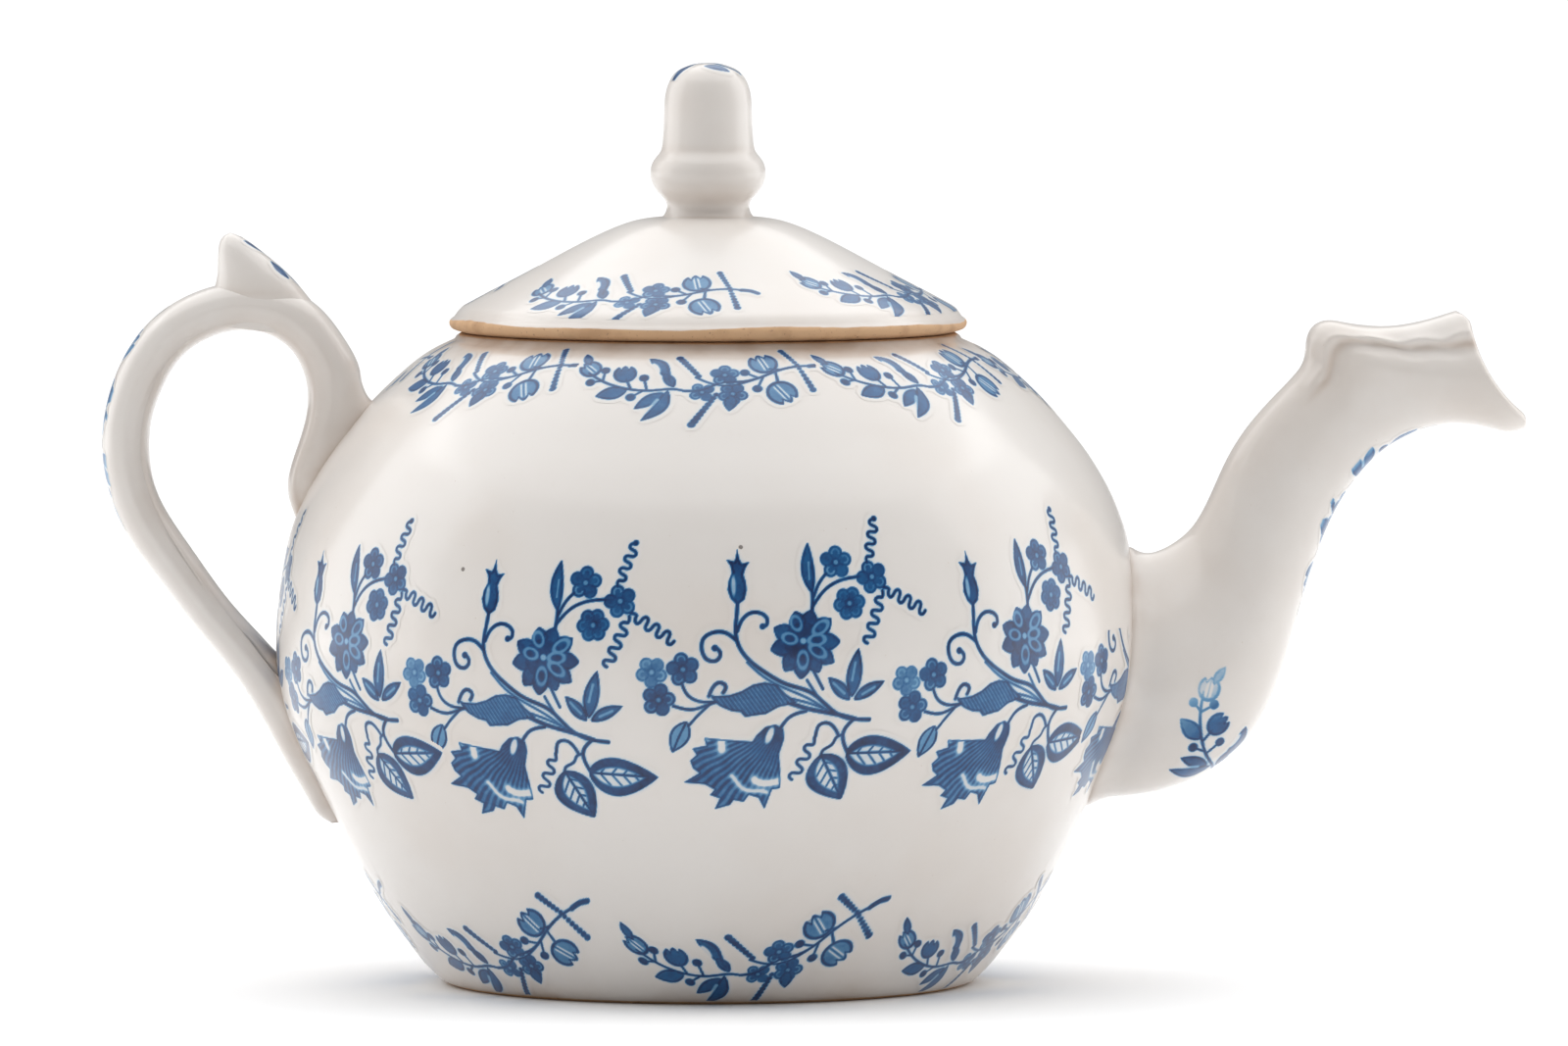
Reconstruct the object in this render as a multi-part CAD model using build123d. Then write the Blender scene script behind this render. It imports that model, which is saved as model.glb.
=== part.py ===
from build123d import *
import math
import os

# A round-bodied clay teapot with an S-curved spout, a strap handle and a loose domed lid.
# Millimetres. +Z is up, the pot's own axis is the Z axis, the foot stands on Z = 0,
# the spout points to +X and the handle to -X.

# ---------------------------------------------------------------- driving dimensions
WALL = 4.0             # wall of the round body
FLOOR_TOP = 7.4        # inside floor of the body
FOOT_HEIGHT = 2.4      # height of the standing ring
FOOT_OUTER_R = 44.9    # standing ring, outer edge where it meets the table
FOOT_INNER_R = 39.5    # standing ring, inner edge
BODY_START_R = 48.4    # body radius just above the standing ring
BELLY_R = 74.8         # widest radius of the body
BELLY_Z = 59.0         # height of the widest part
SEAT_Z = 112.8         # height of the bare seat that the lid rests on
SEAT_R = 43.4          # outer radius of the seat
MOUTH_R = 38.5         # radius of the mouth
COLLAR_Z = 106.6       # lower edge of the straight mouth collar

LID_R = 44.8           # outer radius of the lid's edge
LID_EDGE = 2.4         # height of the lid's edge
LID_UNDERCUT = 0.6     # how far the lid's edge stands above the seat plane
LID_WALL = 3.8         # thickness of the lid's dome
LID_TOP_Z = 132.6      # where the dome meets the knob
FLANGE_OUTER_R = 37.4  # locating ring under the lid
FLANGE_INNER_R = 34.0
FLANGE_DEPTH = 8.6     # how far the locating ring drops below the seat
KNOB_NECK_R = 7.1      # neck between the dome and the knob
KNOB_FLARE_R = 9.9     # widest part of the knob
KNOB_FLARE_Z = 140.2
KNOB_BARREL_R = 7.65   # upper barrel of the knob
KNOB_TOP_Z = 159.4
KNOB_SPIGOT_R = 3.0    # peg of the knob that goes through the dome
VENT_R = 1.2           # steam hole through the lid, behind the knob
VENT_AT = 18.0         # its distance from the axis

SPOUT_WALL = 3.4       # wall of the spout
SPOUT_ROOT_HALF = 16.4  # half width of the spout at its root
STRAINER_R = 12.0      # radius of the pierced panel behind the spout
STRAINER_Z = 52.0      # its height
STRAINER_HOLE_R = 1.6  # radius of one strainer hole
STRAINER_PITCH = 5.2   # distance between strainer holes

HANDLE_WIDTH = 13.0    # width of the handle strap, across the pot
HANDLE_SQUARE = 3.2    # how square the strap's section is: 2 is an ellipse
SPUR_SQUARE = 2.4      # the same for the thumb rest

# ---------------------------------------------------------------- outlines
# Outer line of the round body from the foot to the shoulder, as (radius, height).
BODY_LINE = [
    (BODY_START_R, FOOT_HEIGHT),
    (55.8, 12.3),
    (63.6, 27.6),
    (71.6, 42.9),
    (BELLY_R, BELLY_Z),
    (72.9, 76.1),
    (66.0, 91.4),
    (57.6, 101.6),
    (48.8, 109.2),
    (SEAT_R, SEAT_Z - 0.8),
]

# Outer line of the lid's dome, from the top of its edge to the knob, as (radius, height).
DOME_LINE = [
    (LID_R - 0.5, SEAT_Z + LID_UNDERCUT + LID_EDGE),
    (38.8, 119.4),
    (29.2, 124.5),
    (19.5, 129.5),
    (KNOB_NECK_R + 1.2, LID_TOP_Z),
]

# Outer line of the knob, as (radius, height): hollow neck, then from the flare to the barrel.
KNOB_NECK_LINE = [
    (KNOB_NECK_R + 1.2, LID_TOP_Z),
    (KNOB_NECK_R, 134.4),
    (8.0, 137.2),
    (KNOB_FLARE_R, KNOB_FLARE_Z - 0.6),
]
KNOB_BARREL_LINE = [
    (KNOB_FLARE_R, KNOB_FLARE_Z + 0.4),
    (9.1, 142.6),
    (8.0, 144.9),
    (KNOB_BARREL_R, 148.0),
    (KNOB_BARREL_R, 152.2),
]
KNOB_CROWN = (5.4, 157.6)     # a point on the rounded top

# Cross-sections of the spout: (back point, belly point, half width, where the section is widest).
# Points are (x, z) in the plane of the spout; "widest" runs from 0 at the back to 1 at the belly.
SPOUT_SECTIONS = [
    ((66.0, 74.5), (58.0, 32.6), SPOUT_ROOT_HALF, 0.58),
    ((76.6, 74.5), (70.6, 32.2), SPOUT_ROOT_HALF, 0.58),
    ((81.3, 76.8), (81.3, 34.4), 15.6, 0.60),
    ((84.4, 79.8), (91.9, 40.9), 13.6, 0.60),
    ((87.2, 85.0), (98.6, 51.0), 11.4, 0.56),
    ((89.8, 90.5), (102.1, 63.3), 10.0, 0.52),
    ((93.5, 96.3), (106.0, 75.5), 9.0, 0.50),
    ((98.3, 101.9), (111.6, 86.6), 8.4, 0.50),
    ((102.8, 106.4), (118.5, 93.4), 8.2, 0.48),
    ((105.6, 113.4), (124.4, 96.2), 8.3, 0.44),
    ((111.6, 114.0), (129.4, 97.0), 8.3, 0.44),
    ((118.2, 113.9), (134.0, 96.6), 8.3, 0.46),
    ((124.6, 115.1), (138.4, 96.0), 8.2, 0.48),
    ((130.6, 117.1), (142.4, 96.4), 8.2, 0.52),
]
SPOUT_BOSS = (106.0, 112.4)   # rounded boss at the back of the spout's head
SPOUT_BOSS_R = 2.4
LIP_CUT_R = 40.0              # the mouth's side edges are hollowed to this radius
LIP_CUT_DEPTH = 1.95

# Cross-sections of the handle strap as (outer point, inner point), from the upper root on the shoulder,
# over the top, down the back and along the body to the tip of the lower root.
HANDLE_SECTIONS = [
    ((-54.0, 94.5), (-66.5, 79.5)),
    ((-58.9, 101.2), (-72.4, 85.0)),
    ((-60.3, 105.2), (-69.6, 98.5)),
    ((-62.0, 109.8), (-70.3, 106.2)),
    ((-66.2, 116.0), (-72.6, 110.2)),
    ((-73.4, 120.4), (-76.6, 112.7)),
    ((-81.0, 121.6), (-81.0, 113.1)),
    ((-89.5, 119.6), (-86.2, 112.0)),
    ((-96.8, 114.6), (-91.2, 108.7)),
    ((-102.2, 106.6), (-94.9, 103.0)),
    ((-105.0, 96.8), (-96.9, 95.6)),
    ((-104.2, 87.2), (-96.3, 87.6)),
    ((-100.8, 77.9), (-93.4, 80.4)),
    ((-94.8, 69.4), (-88.2, 73.2)),
    ((-88.2, 61.0), (-81.6, 64.2)),
    ((-81.8, 52.6), (-74.7, 56.4)),
    ((-76.2, 43.8), (-69.0, 47.0)),
    ((-71.4, 35.0), (-65.0, 38.0)),
    ((-67.2, 29.4), (-61.8, 31.4)),
]
# Cross-sections of the thumb rest as (back point, slope point, half width), from the strap to the tip.
SPUR_SECTIONS = [
    ((-89.0, 117.0), (-66.0, 114.0), 5.4),
    ((-85.9, 121.8), (-71.4, 121.8), 5.0),
    ((-85.1, 125.4), (-76.4, 125.9), 4.3),
    ((-84.4, 128.2), (-79.8, 128.6), 2.8),
    ((-83.3, 129.6), (-81.9, 129.7), 1.0),
]


# ---------------------------------------------------------------- helpers
def revolved(outline_2d):
    """A solid of revolution about Z from a closed outline drawn as (radius, height)."""
    with BuildPart() as turned:
        with BuildSketch(Plane.XZ):
            with BuildLine():
                outline_2d()
            make_face()
        revolve(axis=Axis.Z)
    return turned.part


def side_point(x, z, y=0.0):
    """A point of the pot's side view, moved y across the pot."""
    return Vector(x, y, z)


def offset_inward(points, distance):
    """Move a line of (radius, height) points sideways, towards the axis and away from its outside."""
    moved = []
    for i, (r, z) in enumerate(points):
        r0, z0 = points[max(i - 1, 0)]
        r1, z1 = points[min(i + 1, len(points) - 1)]
        length = math.hypot(r1 - r0, z1 - z0)
        moved.append((r - distance * (z1 - z0) / length, z + distance * (r1 - r0) / length))
    return moved


def write(shape, node):
    export_step(shape, os.path.join("parts", node + ".step"))
    print(f"{node:12s} {shape.volume / 1000:8.2f} cm3")


# ---------------------------------------------------------------- the round body
def body_filled():
    """The body as a full lump: used to trim what is joined to it."""

    def outline():
        Line((0, FOOT_HEIGHT), BODY_LINE[0])
        Spline(*BODY_LINE)
        Line(BODY_LINE[-1], (SEAT_R - 0.6, SEAT_Z))
        Line((SEAT_R - 0.6, SEAT_Z), (0, SEAT_Z))
        Line((0, SEAT_Z), (0, FOOT_HEIGHT))

    return revolved(outline)


def body_hollow():
    """The space inside the body, with the mouth."""
    inner = offset_inward(BODY_LINE, WALL)
    wall_line = [(42.0, FLOOR_TOP), (48.6, 9.6)] + inner[1:-2] + [(47.6, 104.4), (MOUTH_R + 1.0, COLLAR_Z + 1.0)]

    def outline():
        Line((0, FLOOR_TOP), wall_line[0])
        Spline(*wall_line)
        Line(wall_line[-1], (MOUTH_R, COLLAR_Z + 2.0))
        Line((MOUTH_R, COLLAR_Z + 2.0), (MOUTH_R, SEAT_Z + 1))
        Line((MOUTH_R, SEAT_Z + 1), (0, SEAT_Z + 1))
        Line((0, SEAT_Z + 1), (0, FLOOR_TOP))

    return revolved(outline)


lump = body_filled()
shell = lump - body_hollow()

panel_bore = Pos(BELLY_R - 20, 0, STRAINER_Z) * Rot(0, 90, 0) * Cylinder(
    STRAINER_R, 40, align=(Align.CENTER, Align.CENTER, Align.MIN)
)
pot_body = shell - panel_bore

holes = Part()
for row in range(-2, 3):
    for column in range(-2, 3):
        y = STRAINER_PITCH * (column + 0.5 * (row % 2))
        z = STRAINER_PITCH * row * math.sqrt(3) / 2
        if math.hypot(y, z) < STRAINER_R - STRAINER_HOLE_R - 0.8:
            holes += Pos(BELLY_R - 20, y, STRAINER_Z + z) * Rot(0, 90, 0) * Cylinder(
                STRAINER_HOLE_R, 40, align=(Align.CENTER, Align.CENTER, Align.MIN)
            )
strainer = (shell & panel_bore) - holes


def foot_outline():
    Line((FOOT_INNER_R + 1.0, 0), (FOOT_OUTER_R, 0))
    ThreePointArc((FOOT_OUTER_R, 0), (46.9, 0.9), BODY_LINE[0])
    Line(BODY_LINE[0], (FOOT_INNER_R, FOOT_HEIGHT))
    Line((FOOT_INNER_R, FOOT_HEIGHT), (FOOT_INNER_R + 1.0, 0))


foot_ring = revolved(foot_outline)


# ---------------------------------------------------------------- the lid
EDGE_LOW = SEAT_Z + LID_UNDERCUT


def lid_outline():
    under = [(33.0, 118.4), (20.0, 125.2), (KNOB_SPIGOT_R + 3, LID_TOP_Z - LID_WALL)]
    Line((FLANGE_INNER_R, SEAT_Z), (SEAT_R - 1.4, SEAT_Z))
    Line((SEAT_R - 1.4, SEAT_Z), (LID_R - 0.6, EDGE_LOW))
    RadiusArc((LID_R - 0.6, EDGE_LOW), (LID_R, EDGE_LOW + 0.8), -1.2)
    Line((LID_R, EDGE_LOW + 0.8), (LID_R, EDGE_LOW + LID_EDGE - 1.0))
    RadiusArc((LID_R, EDGE_LOW + LID_EDGE - 1.0), DOME_LINE[0], -1.4)
    Spline(*DOME_LINE)
    Line(DOME_LINE[-1], (KNOB_SPIGOT_R, LID_TOP_Z))
    Line((KNOB_SPIGOT_R, LID_TOP_Z), (KNOB_SPIGOT_R, LID_TOP_Z - LID_WALL))
    Line((KNOB_SPIGOT_R, LID_TOP_Z - LID_WALL), under[-1])
    Spline(under[2], under[1], under[0])
    Line(under[0], (FLANGE_INNER_R, SEAT_Z))


vent = Pos(0, VENT_AT, LID_TOP_Z - 12) * Cylinder(VENT_R, 20, align=(Align.CENTER, Align.CENTER, Align.MIN))
lid = revolved(lid_outline) - vent


def flange_outline():
    low = SEAT_Z - FLANGE_DEPTH
    Line((FLANGE_INNER_R, SEAT_Z), (FLANGE_OUTER_R, SEAT_Z))
    Line((FLANGE_OUTER_R, SEAT_Z), (FLANGE_OUTER_R - 0.4, low + 1.2))
    ThreePointArc(
        (FLANGE_OUTER_R - 0.4, low + 1.2), ((FLANGE_OUTER_R + FLANGE_INNER_R) / 2, low), (FLANGE_INNER_R, low + 1.2)
    )
    Line((FLANGE_INNER_R, low + 1.2), (FLANGE_INNER_R, SEAT_Z))


lid_flange = revolved(flange_outline)


def knob_outline():
    Spline(*KNOB_NECK_LINE)
    Line(KNOB_NECK_LINE[-1], KNOB_BARREL_LINE[0])
    Spline(*KNOB_BARREL_LINE)
    Spline(KNOB_BARREL_LINE[-1], KNOB_CROWN, (0, KNOB_TOP_Z), tangents=[(0, 1), (-1, 0)])
    Line((0, KNOB_TOP_Z), (0, LID_TOP_Z - LID_WALL))
    Line((0, LID_TOP_Z - LID_WALL), (KNOB_SPIGOT_R, LID_TOP_Z - LID_WALL))
    Line((KNOB_SPIGOT_R, LID_TOP_Z - LID_WALL), (KNOB_SPIGOT_R, LID_TOP_Z))
    Line((KNOB_SPIGOT_R, LID_TOP_Z), KNOB_NECK_LINE[0])


lid_knob = revolved(knob_outline)


# ---------------------------------------------------------------- the spout
def section_face(back, belly, half, widest, inset=0.0):
    """A closed egg-shaped section between the back and the belly of the spout."""
    b = side_point(*back)
    down = side_point(*belly) - b
    length = down.length
    unit = down / length
    start = b + unit * inset
    length -= 2 * inset
    half -= inset
    shape = [
        (0.0, 0.0),
        (0.07, 0.46),
        (widest * 0.5, 0.86),
        (widest, 1.0),
        (0.5 + widest * 0.5, 0.82),
        (0.95, 0.42),
        (1.0, 0.0),
    ]
    right = [start + unit * (f * length) + Vector(0, half * w, 0) for f, w in shape]
    left = [start + unit * (f * length) - Vector(0, half * w, 0) for f, w in shape[-2:0:-1]]
    return make_face(Spline(*right, *left, periodic=True))


(mouth_back, mouth_belly) = (side_point(*p) for p in SPOUT_SECTIONS[-1][:2])
mouth_mid = (mouth_back + mouth_belly) / 2
mouth_run = mouth_belly - mouth_back
mouth_out = Vector(-mouth_run.Z, 0, mouth_run.X).normalized()

spout_skin = loft([section_face(*s) for s in SPOUT_SECTIONS])
bore_faces = [section_face(*s, inset=SPOUT_WALL) for s in SPOUT_SECTIONS]
past_mouth = mouth_out * 4.0
spout_bore = loft(bore_faces + [Pos(past_mouth.X, past_mouth.Y, past_mouth.Z) * bore_faces[-1]])

hollow_axis = mouth_mid + mouth_out * (LIP_CUT_R - LIP_CUT_DEPTH)
lip_cut = Pos(hollow_axis.X, 0, hollow_axis.Z) * Rot(90, 0, 0) * Cylinder(LIP_CUT_R, 40)
boss = Pos(SPOUT_BOSS[0], 0, SPOUT_BOSS[1]) * Rot(90, 0, 0) * Cylinder(SPOUT_BOSS_R, 9.0)
spout = spout_skin + fillet(boss.edges(), SPOUT_BOSS_R * 0.6) - spout_bore - lip_cut - lump

# ---------------------------------------------------------------- the handle
def squarish_face(outer, inner, half, power, count=16):
    """A closed section between two points of the side view, part ellipse and part rectangle."""
    middle = (side_point(*outer) + side_point(*inner)) / 2
    reach = side_point(*outer) - middle
    ring = []
    for i in range(count):
        turn = 2 * math.pi * i / count
        c, s = math.cos(turn), math.sin(turn)
        along = math.copysign(abs(c) ** (2 / power), c)
        across = math.copysign(abs(s) ** (2 / power), s)
        ring.append(middle + reach * along + Vector(0, half * across, 0))
    return make_face(Spline(*ring, periodic=True))


strap = loft([squarish_face(o, i, HANDLE_WIDTH / 2, HANDLE_SQUARE) for o, i in HANDLE_SECTIONS])
handle = strap - lump
spur = loft([squarish_face(b, s, w, SPUR_SQUARE) for b, s, w in SPUR_SECTIONS])
thumb_rest = spur - strap

# ---------------------------------------------------------------- write the parts
os.makedirs("parts", exist_ok=True)
write(pot_body, "pot_body")
write(foot_ring, "foot_ring")
write(strainer, "strainer")
write(spout, "spout")
write(handle, "handle")
write(thumb_rest, "thumb_rest")
write(lid, "lid")
write(lid_flange, "lid_flange")
write(lid_knob, "lid_knob")
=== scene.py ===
# %% [markdown]
# # A teapot with blue printed flowers
#
# This lesson builds a glazed earthenware teapot: a round body, an S-curved spout, a strap handle, a loose
# domed lid with an acorn knob, and flower prints that lie under the glaze. The engineering model gives
# every place and size, so the first step is to load it and to note how large the whole pot is.

# %% Load the frame
import math

import bmesh
import bpy
import numpy as np
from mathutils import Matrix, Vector
from mathutils.bvhtree import BVHTree


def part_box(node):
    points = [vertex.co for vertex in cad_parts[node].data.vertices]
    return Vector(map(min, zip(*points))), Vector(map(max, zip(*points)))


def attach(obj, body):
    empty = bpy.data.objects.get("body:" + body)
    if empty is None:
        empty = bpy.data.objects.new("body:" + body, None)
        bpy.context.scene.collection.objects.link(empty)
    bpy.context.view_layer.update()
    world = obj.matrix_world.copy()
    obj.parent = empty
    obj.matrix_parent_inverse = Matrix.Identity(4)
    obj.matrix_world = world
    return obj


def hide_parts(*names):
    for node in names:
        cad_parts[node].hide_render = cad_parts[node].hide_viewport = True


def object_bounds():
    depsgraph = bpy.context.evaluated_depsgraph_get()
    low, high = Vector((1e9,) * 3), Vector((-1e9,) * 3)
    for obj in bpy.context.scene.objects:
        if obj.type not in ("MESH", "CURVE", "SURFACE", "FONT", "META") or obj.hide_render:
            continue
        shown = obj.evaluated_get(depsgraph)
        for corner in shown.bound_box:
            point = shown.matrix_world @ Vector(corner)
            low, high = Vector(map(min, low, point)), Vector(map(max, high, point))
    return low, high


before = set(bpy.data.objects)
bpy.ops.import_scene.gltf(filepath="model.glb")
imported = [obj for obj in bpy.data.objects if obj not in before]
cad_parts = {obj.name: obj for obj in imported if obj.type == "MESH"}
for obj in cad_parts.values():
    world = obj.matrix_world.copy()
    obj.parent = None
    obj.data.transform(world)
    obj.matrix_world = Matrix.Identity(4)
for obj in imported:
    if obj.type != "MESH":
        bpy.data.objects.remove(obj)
cad_box = [list(corner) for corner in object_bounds()]
MM = 0.001
TAU = 2 * math.pi


def box_mm(node):
    """The lowest and highest corner of one part of the engineering model, in mm."""
    return np.round(np.array(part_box(node)) / MM, 1)


pot_low, pot_high = (np.array(corner) / MM for corner in cad_box)
print("pot in mm, from", pot_low.round(1), "to", pot_high.round(1))
print("parts:", ", ".join(sorted(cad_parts)))

# %% [markdown]
# The camera stands far back with a long lens, a little above the table, and looks slightly down. A long
# lens keeps both ends of the pot the same size, which is how pottery is usually shown in a catalogue.

# %% Camera
scene = bpy.context.scene
scene.view_settings.view_transform = "Standard"

FRAME_WIDTH = 272.0     # mm of the scene that the frame spans at the pot
CAMERA_BACK = 2360.0    # mm from the pot's axis
CAMERA_PITCH = math.radians(3.15)
LOOK_LEFT = 5.4         # mm from the pot's middle towards the handle
look_at = np.array([(pot_low[0] + pot_high[0]) / 2 - LOOK_LEFT, 0.0, (pot_low[2] + pot_high[2]) / 2])

camera = bpy.data.objects.new("camera", bpy.data.cameras.new("camera"))
scene.collection.objects.link(camera)
camera.location = Vector(look_at + [0, -CAMERA_BACK, CAMERA_BACK * math.tan(CAMERA_PITCH)]) * MM
camera.rotation_euler = (math.pi / 2 - CAMERA_PITCH, 0, 0)
camera.data.lens = camera.data.sensor_width * CAMERA_BACK / math.cos(CAMERA_PITCH) / FRAME_WIDTH
camera.data.clip_start, camera.data.clip_end = 0.05, 100    # metres
scene.camera = camera
print("lens", round(camera.data.lens, 1), "mm")

# %% [markdown]
# Shader maths is easier to read as sums than as boxes and wires. A Wire holds one socket, and adding or
# multiplying wires puts Math nodes behind them. A Finish is one material; its node method makes any other
# node.

# %% Wires and finishes
class Wire:
    """One socket of a finish, so that node maths reads as sums."""

    def __init__(self, finish, socket):
        self.finish = finish
        self.socket = socket

    def __add__(self, other):
        return self.finish.maths("ADD", self, other)

    def __sub__(self, other):
        return self.finish.maths("SUBTRACT", self, other)

    def __rsub__(self, other):
        return self.finish.maths("SUBTRACT", other, self)

    def __mul__(self, other):
        return self.finish.maths("MULTIPLY", self, other)

    __radd__ = __add__
    __rmul__ = __mul__


class Finish:
    """One material, built from nodes."""

    def __init__(self, name):
        self.material = bpy.data.materials.new(name)
        self.material.use_nodes = True
        self.tree = self.material.node_tree
        self.tree.nodes.clear()

    def node(self, kind, settings=None, inputs=None, output=0):
        made = self.tree.nodes.new(kind)
        for key, value in (settings or {}).items():
            if key == "stops":
                self.set_stops(made.color_ramp, value)
            else:
                setattr(made, key, value)
        for key, value in (inputs or {}).items():
            if isinstance(value, Wire):
                self.tree.links.new(value.socket, made.inputs[key])
            else:
                made.inputs[key].default_value = value
        return Wire(self, made.outputs[output]) if made.outputs else made

    def set_stops(self, ramp, stops):
        while len(ramp.elements) < len(stops):
            ramp.elements.new(1.0)
        for element, (place, colour) in zip(ramp.elements, stops):
            element.position = place
            element.color = (*colour, 1.0)

    def maths(self, operation, a, b):
        return self.node("ShaderNodeMath", {"operation": operation}, {0: a, 1: b})

    def mix(self, amount, a, b):
        """Colour a where amount is 0, colour b where it is 1."""
        a, b = ((*colour, 1.0) if isinstance(colour, tuple) else colour for colour in (a, b))
        return self.node("ShaderNodeMix", {"data_type": "RGBA"}, {0: amount, 6: a, 7: b}, output=2)

    def step(self, value, low, high):
        """0 below low, 1 above high, and a soft change between."""
        return self.node(
            "ShaderNodeMapRange",
            {"interpolation_type": "SMOOTHSTEP"},
            {"Value": value, "From Min": low, "From Max": high},
        )

    def noise(self, place, scale, detail=2.0, roughness=0.5):
        inputs = {"Vector": place, "Scale": scale, "Detail": detail, "Roughness": roughness}
        return self.node("ShaderNodeTexNoise", None, inputs)

    def painted(self, attribute):
        """A value that the meshes carry on their points."""
        return self.node("ShaderNodeAttribute", {"attribute_name": attribute}, output="Fac")


print("a finish can", ", ".join(name for name in vars(Finish) if not name.startswith("_")))

# %% [markdown]
# The glaze is a clear gloss over warm white clay. It isn't even: it clouds a little from place to place,
# goes brown where it lies thick in a joint or thin at the foot, and holds small dark specks where iron
# burnt through. The same brown also paints shade: a shadow just under the lid, and the side of the handle
# that faces the body. The prints lie under the same gloss, so print, glaze and bare clay are one finish,
# told apart by three values that the meshes carry: ink, stain with the painted shade, and bare.

# %% Glaze
WHITE_GLAZE = (0.715, 0.682, 0.650)
CLOUDED_GLAZE = (0.655, 0.590, 0.535)
BROWN_GLAZE_AND_SHADE = (0.36, 0.23, 0.14)
SPECK = (0.055, 0.035, 0.028)


def glaze_colour(finish, place, clouds, fine):
    """Warm white with clouds in it, and brown in streaks where a piece carries stain, and where shade is
    painted in the same brown.
    """
    glaze = finish.mix(clouds * 0.45, WHITE_GLAZE, CLOUDED_GLAZE)
    glaze = finish.mix(finish.step(fine, 0.55, 0.8) * 0.12, glaze, CLOUDED_GLAZE)
    streaks = finish.step(finish.noise(place, 90.0, 3.0, 0.6), 0.3, 0.7)
    # the stain value also holds painted shade: the shadow under the lid and the handle's inner side
    return finish.mix(finish.painted("stain") * (0.6 + streaks * 0.7), glaze, BROWN_GLAZE_AND_SHADE)


def with_specks(finish, place, fine, glaze):
    """Fine brown dust, and a dark speck in a few cells of a cell pattern."""
    cells = {"Vector": place, "Scale": 170.0}
    nearest = finish.node("ShaderNodeTexVoronoi", None, cells, output="Distance")
    chosen = finish.node("ShaderNodeTexVoronoi", None, cells, output="Color")
    chance = finish.node("ShaderNodeSeparateColor", None, {"Color": chosen}, output="Red")
    size = finish.step(chance, 0.85, 1.0) * 0.085
    specks = finish.step(size - nearest, 0.0, 0.02)
    grain = finish.node("ShaderNodeTexVoronoi", None, {"Vector": place, "Scale": 430.0}, output="Distance")
    dust = finish.step(0.055 - grain, 0.0, 0.03) * finish.step(fine, 0.5, 0.6)
    glaze = finish.mix(dust * 0.45, glaze, BROWN_GLAZE_AND_SHADE)
    return finish.mix(specks * 0.75, glaze, SPECK)


print("glaze white", WHITE_GLAZE, "clouds to", CLOUDED_GLAZE)

# %% [markdown]
# Cobalt ink is grey blue where it is thin and nearly black where it is thick, so its colour follows a row
# of stops. A transfer never prints evenly: two noises wear and mottle it before the stops are read. Bare
# clay is tan with darker patches and grit, and takes over from the glaze along a slightly ragged line.

# %% Ink, clay and the whole finish
BARE_CLAY = (0.56, 0.355, 0.205)
BARE_CLAY_DARK = (0.36, 0.21, 0.11)
INK_STOPS = [
    (0.0, (0.46, 0.58, 0.66)),
    (0.25, (0.105, 0.275, 0.460)),
    (0.55, (0.004, 0.092, 0.250)),
    (0.80, (0.001, 0.036, 0.135)),
    (1.0, (0.001, 0.012, 0.060)),
]


def with_print(finish, place, glaze):
    """Blue ink over the glaze colour, where a piece carries ink."""
    worn = finish.step(finish.noise(place, 900.0, 3.0, 0.7), 0.35, 0.7)
    mottled = finish.step(finish.noise(place, 210.0, 3.0, 0.65), 0.32, 0.68)
    density = finish.painted("ink") * (0.74 + worn * 0.10 + mottled * 0.19)
    blue = finish.node("ShaderNodeValToRGB", {"stops": INK_STOPS}, {"Fac": density}, output="Color")
    return finish.mix(finish.step(density, 0.0, 0.20), glaze, blue)


def clay_colour(finish, place, grit):
    patches = finish.step(finish.noise(place, 240.0, 3.0), 0.45, 0.75)
    clay = finish.mix(patches * 0.55, BARE_CLAY, BARE_CLAY_DARK)
    return finish.mix(finish.step(grit, 0.62, 0.70) * 0.6, clay, SPECK)


def pot_finish(name):
    finish = Finish(name)
    place = finish.node("ShaderNodeTexCoord", output="Object")
    clouds = finish.step(finish.noise(place, 26.0, 3.0), 0.42, 0.72)
    fine = finish.noise(place, 420.0, 4.0, 0.6)
    grit = finish.noise(place, 1500.0, 3.0, 0.7)

    glaze = glaze_colour(finish, place, clouds, fine)
    glaze = with_specks(finish, place, fine, glaze)
    glaze = with_print(finish, place, glaze)
    ragged = (finish.noise(place, 320.0, 2.0) - 0.5) * 0.5
    bare_here = finish.step(finish.painted("bare") + ragged, 0.40, 0.60)
    colour = finish.mix(bare_here, glaze, clay_colour(finish, place, grit))

    skin = finish.noise(place, 65.0, 2.0) * 0.9 + fine * 0.05 + bare_here * grit * 0.25
    bump = finish.node("ShaderNodeBump", None, {"Strength": 0.10, "Distance": 0.0008, "Height": skin})
    shader = finish.node(
        "ShaderNodeBsdfPrincipled",
        None,
        {
            "Base Color": colour,
            "Roughness": 0.30 + bare_here * 0.45 + clouds * 0.05,
            "Coat Weight": 0.6 * (1 - bare_here),
            "Coat Roughness": 0.17,
            "Specular IOR Level": 0.25,
            "Normal": bump,
        },
    )
    finish.node("ShaderNodeOutputMaterial", None, {"Surface": shader})
    return finish.material


printed_glaze = pot_finish("white_glaze")
print("finish has", len(printed_glaze.node_tree.nodes), "nodes")
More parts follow.
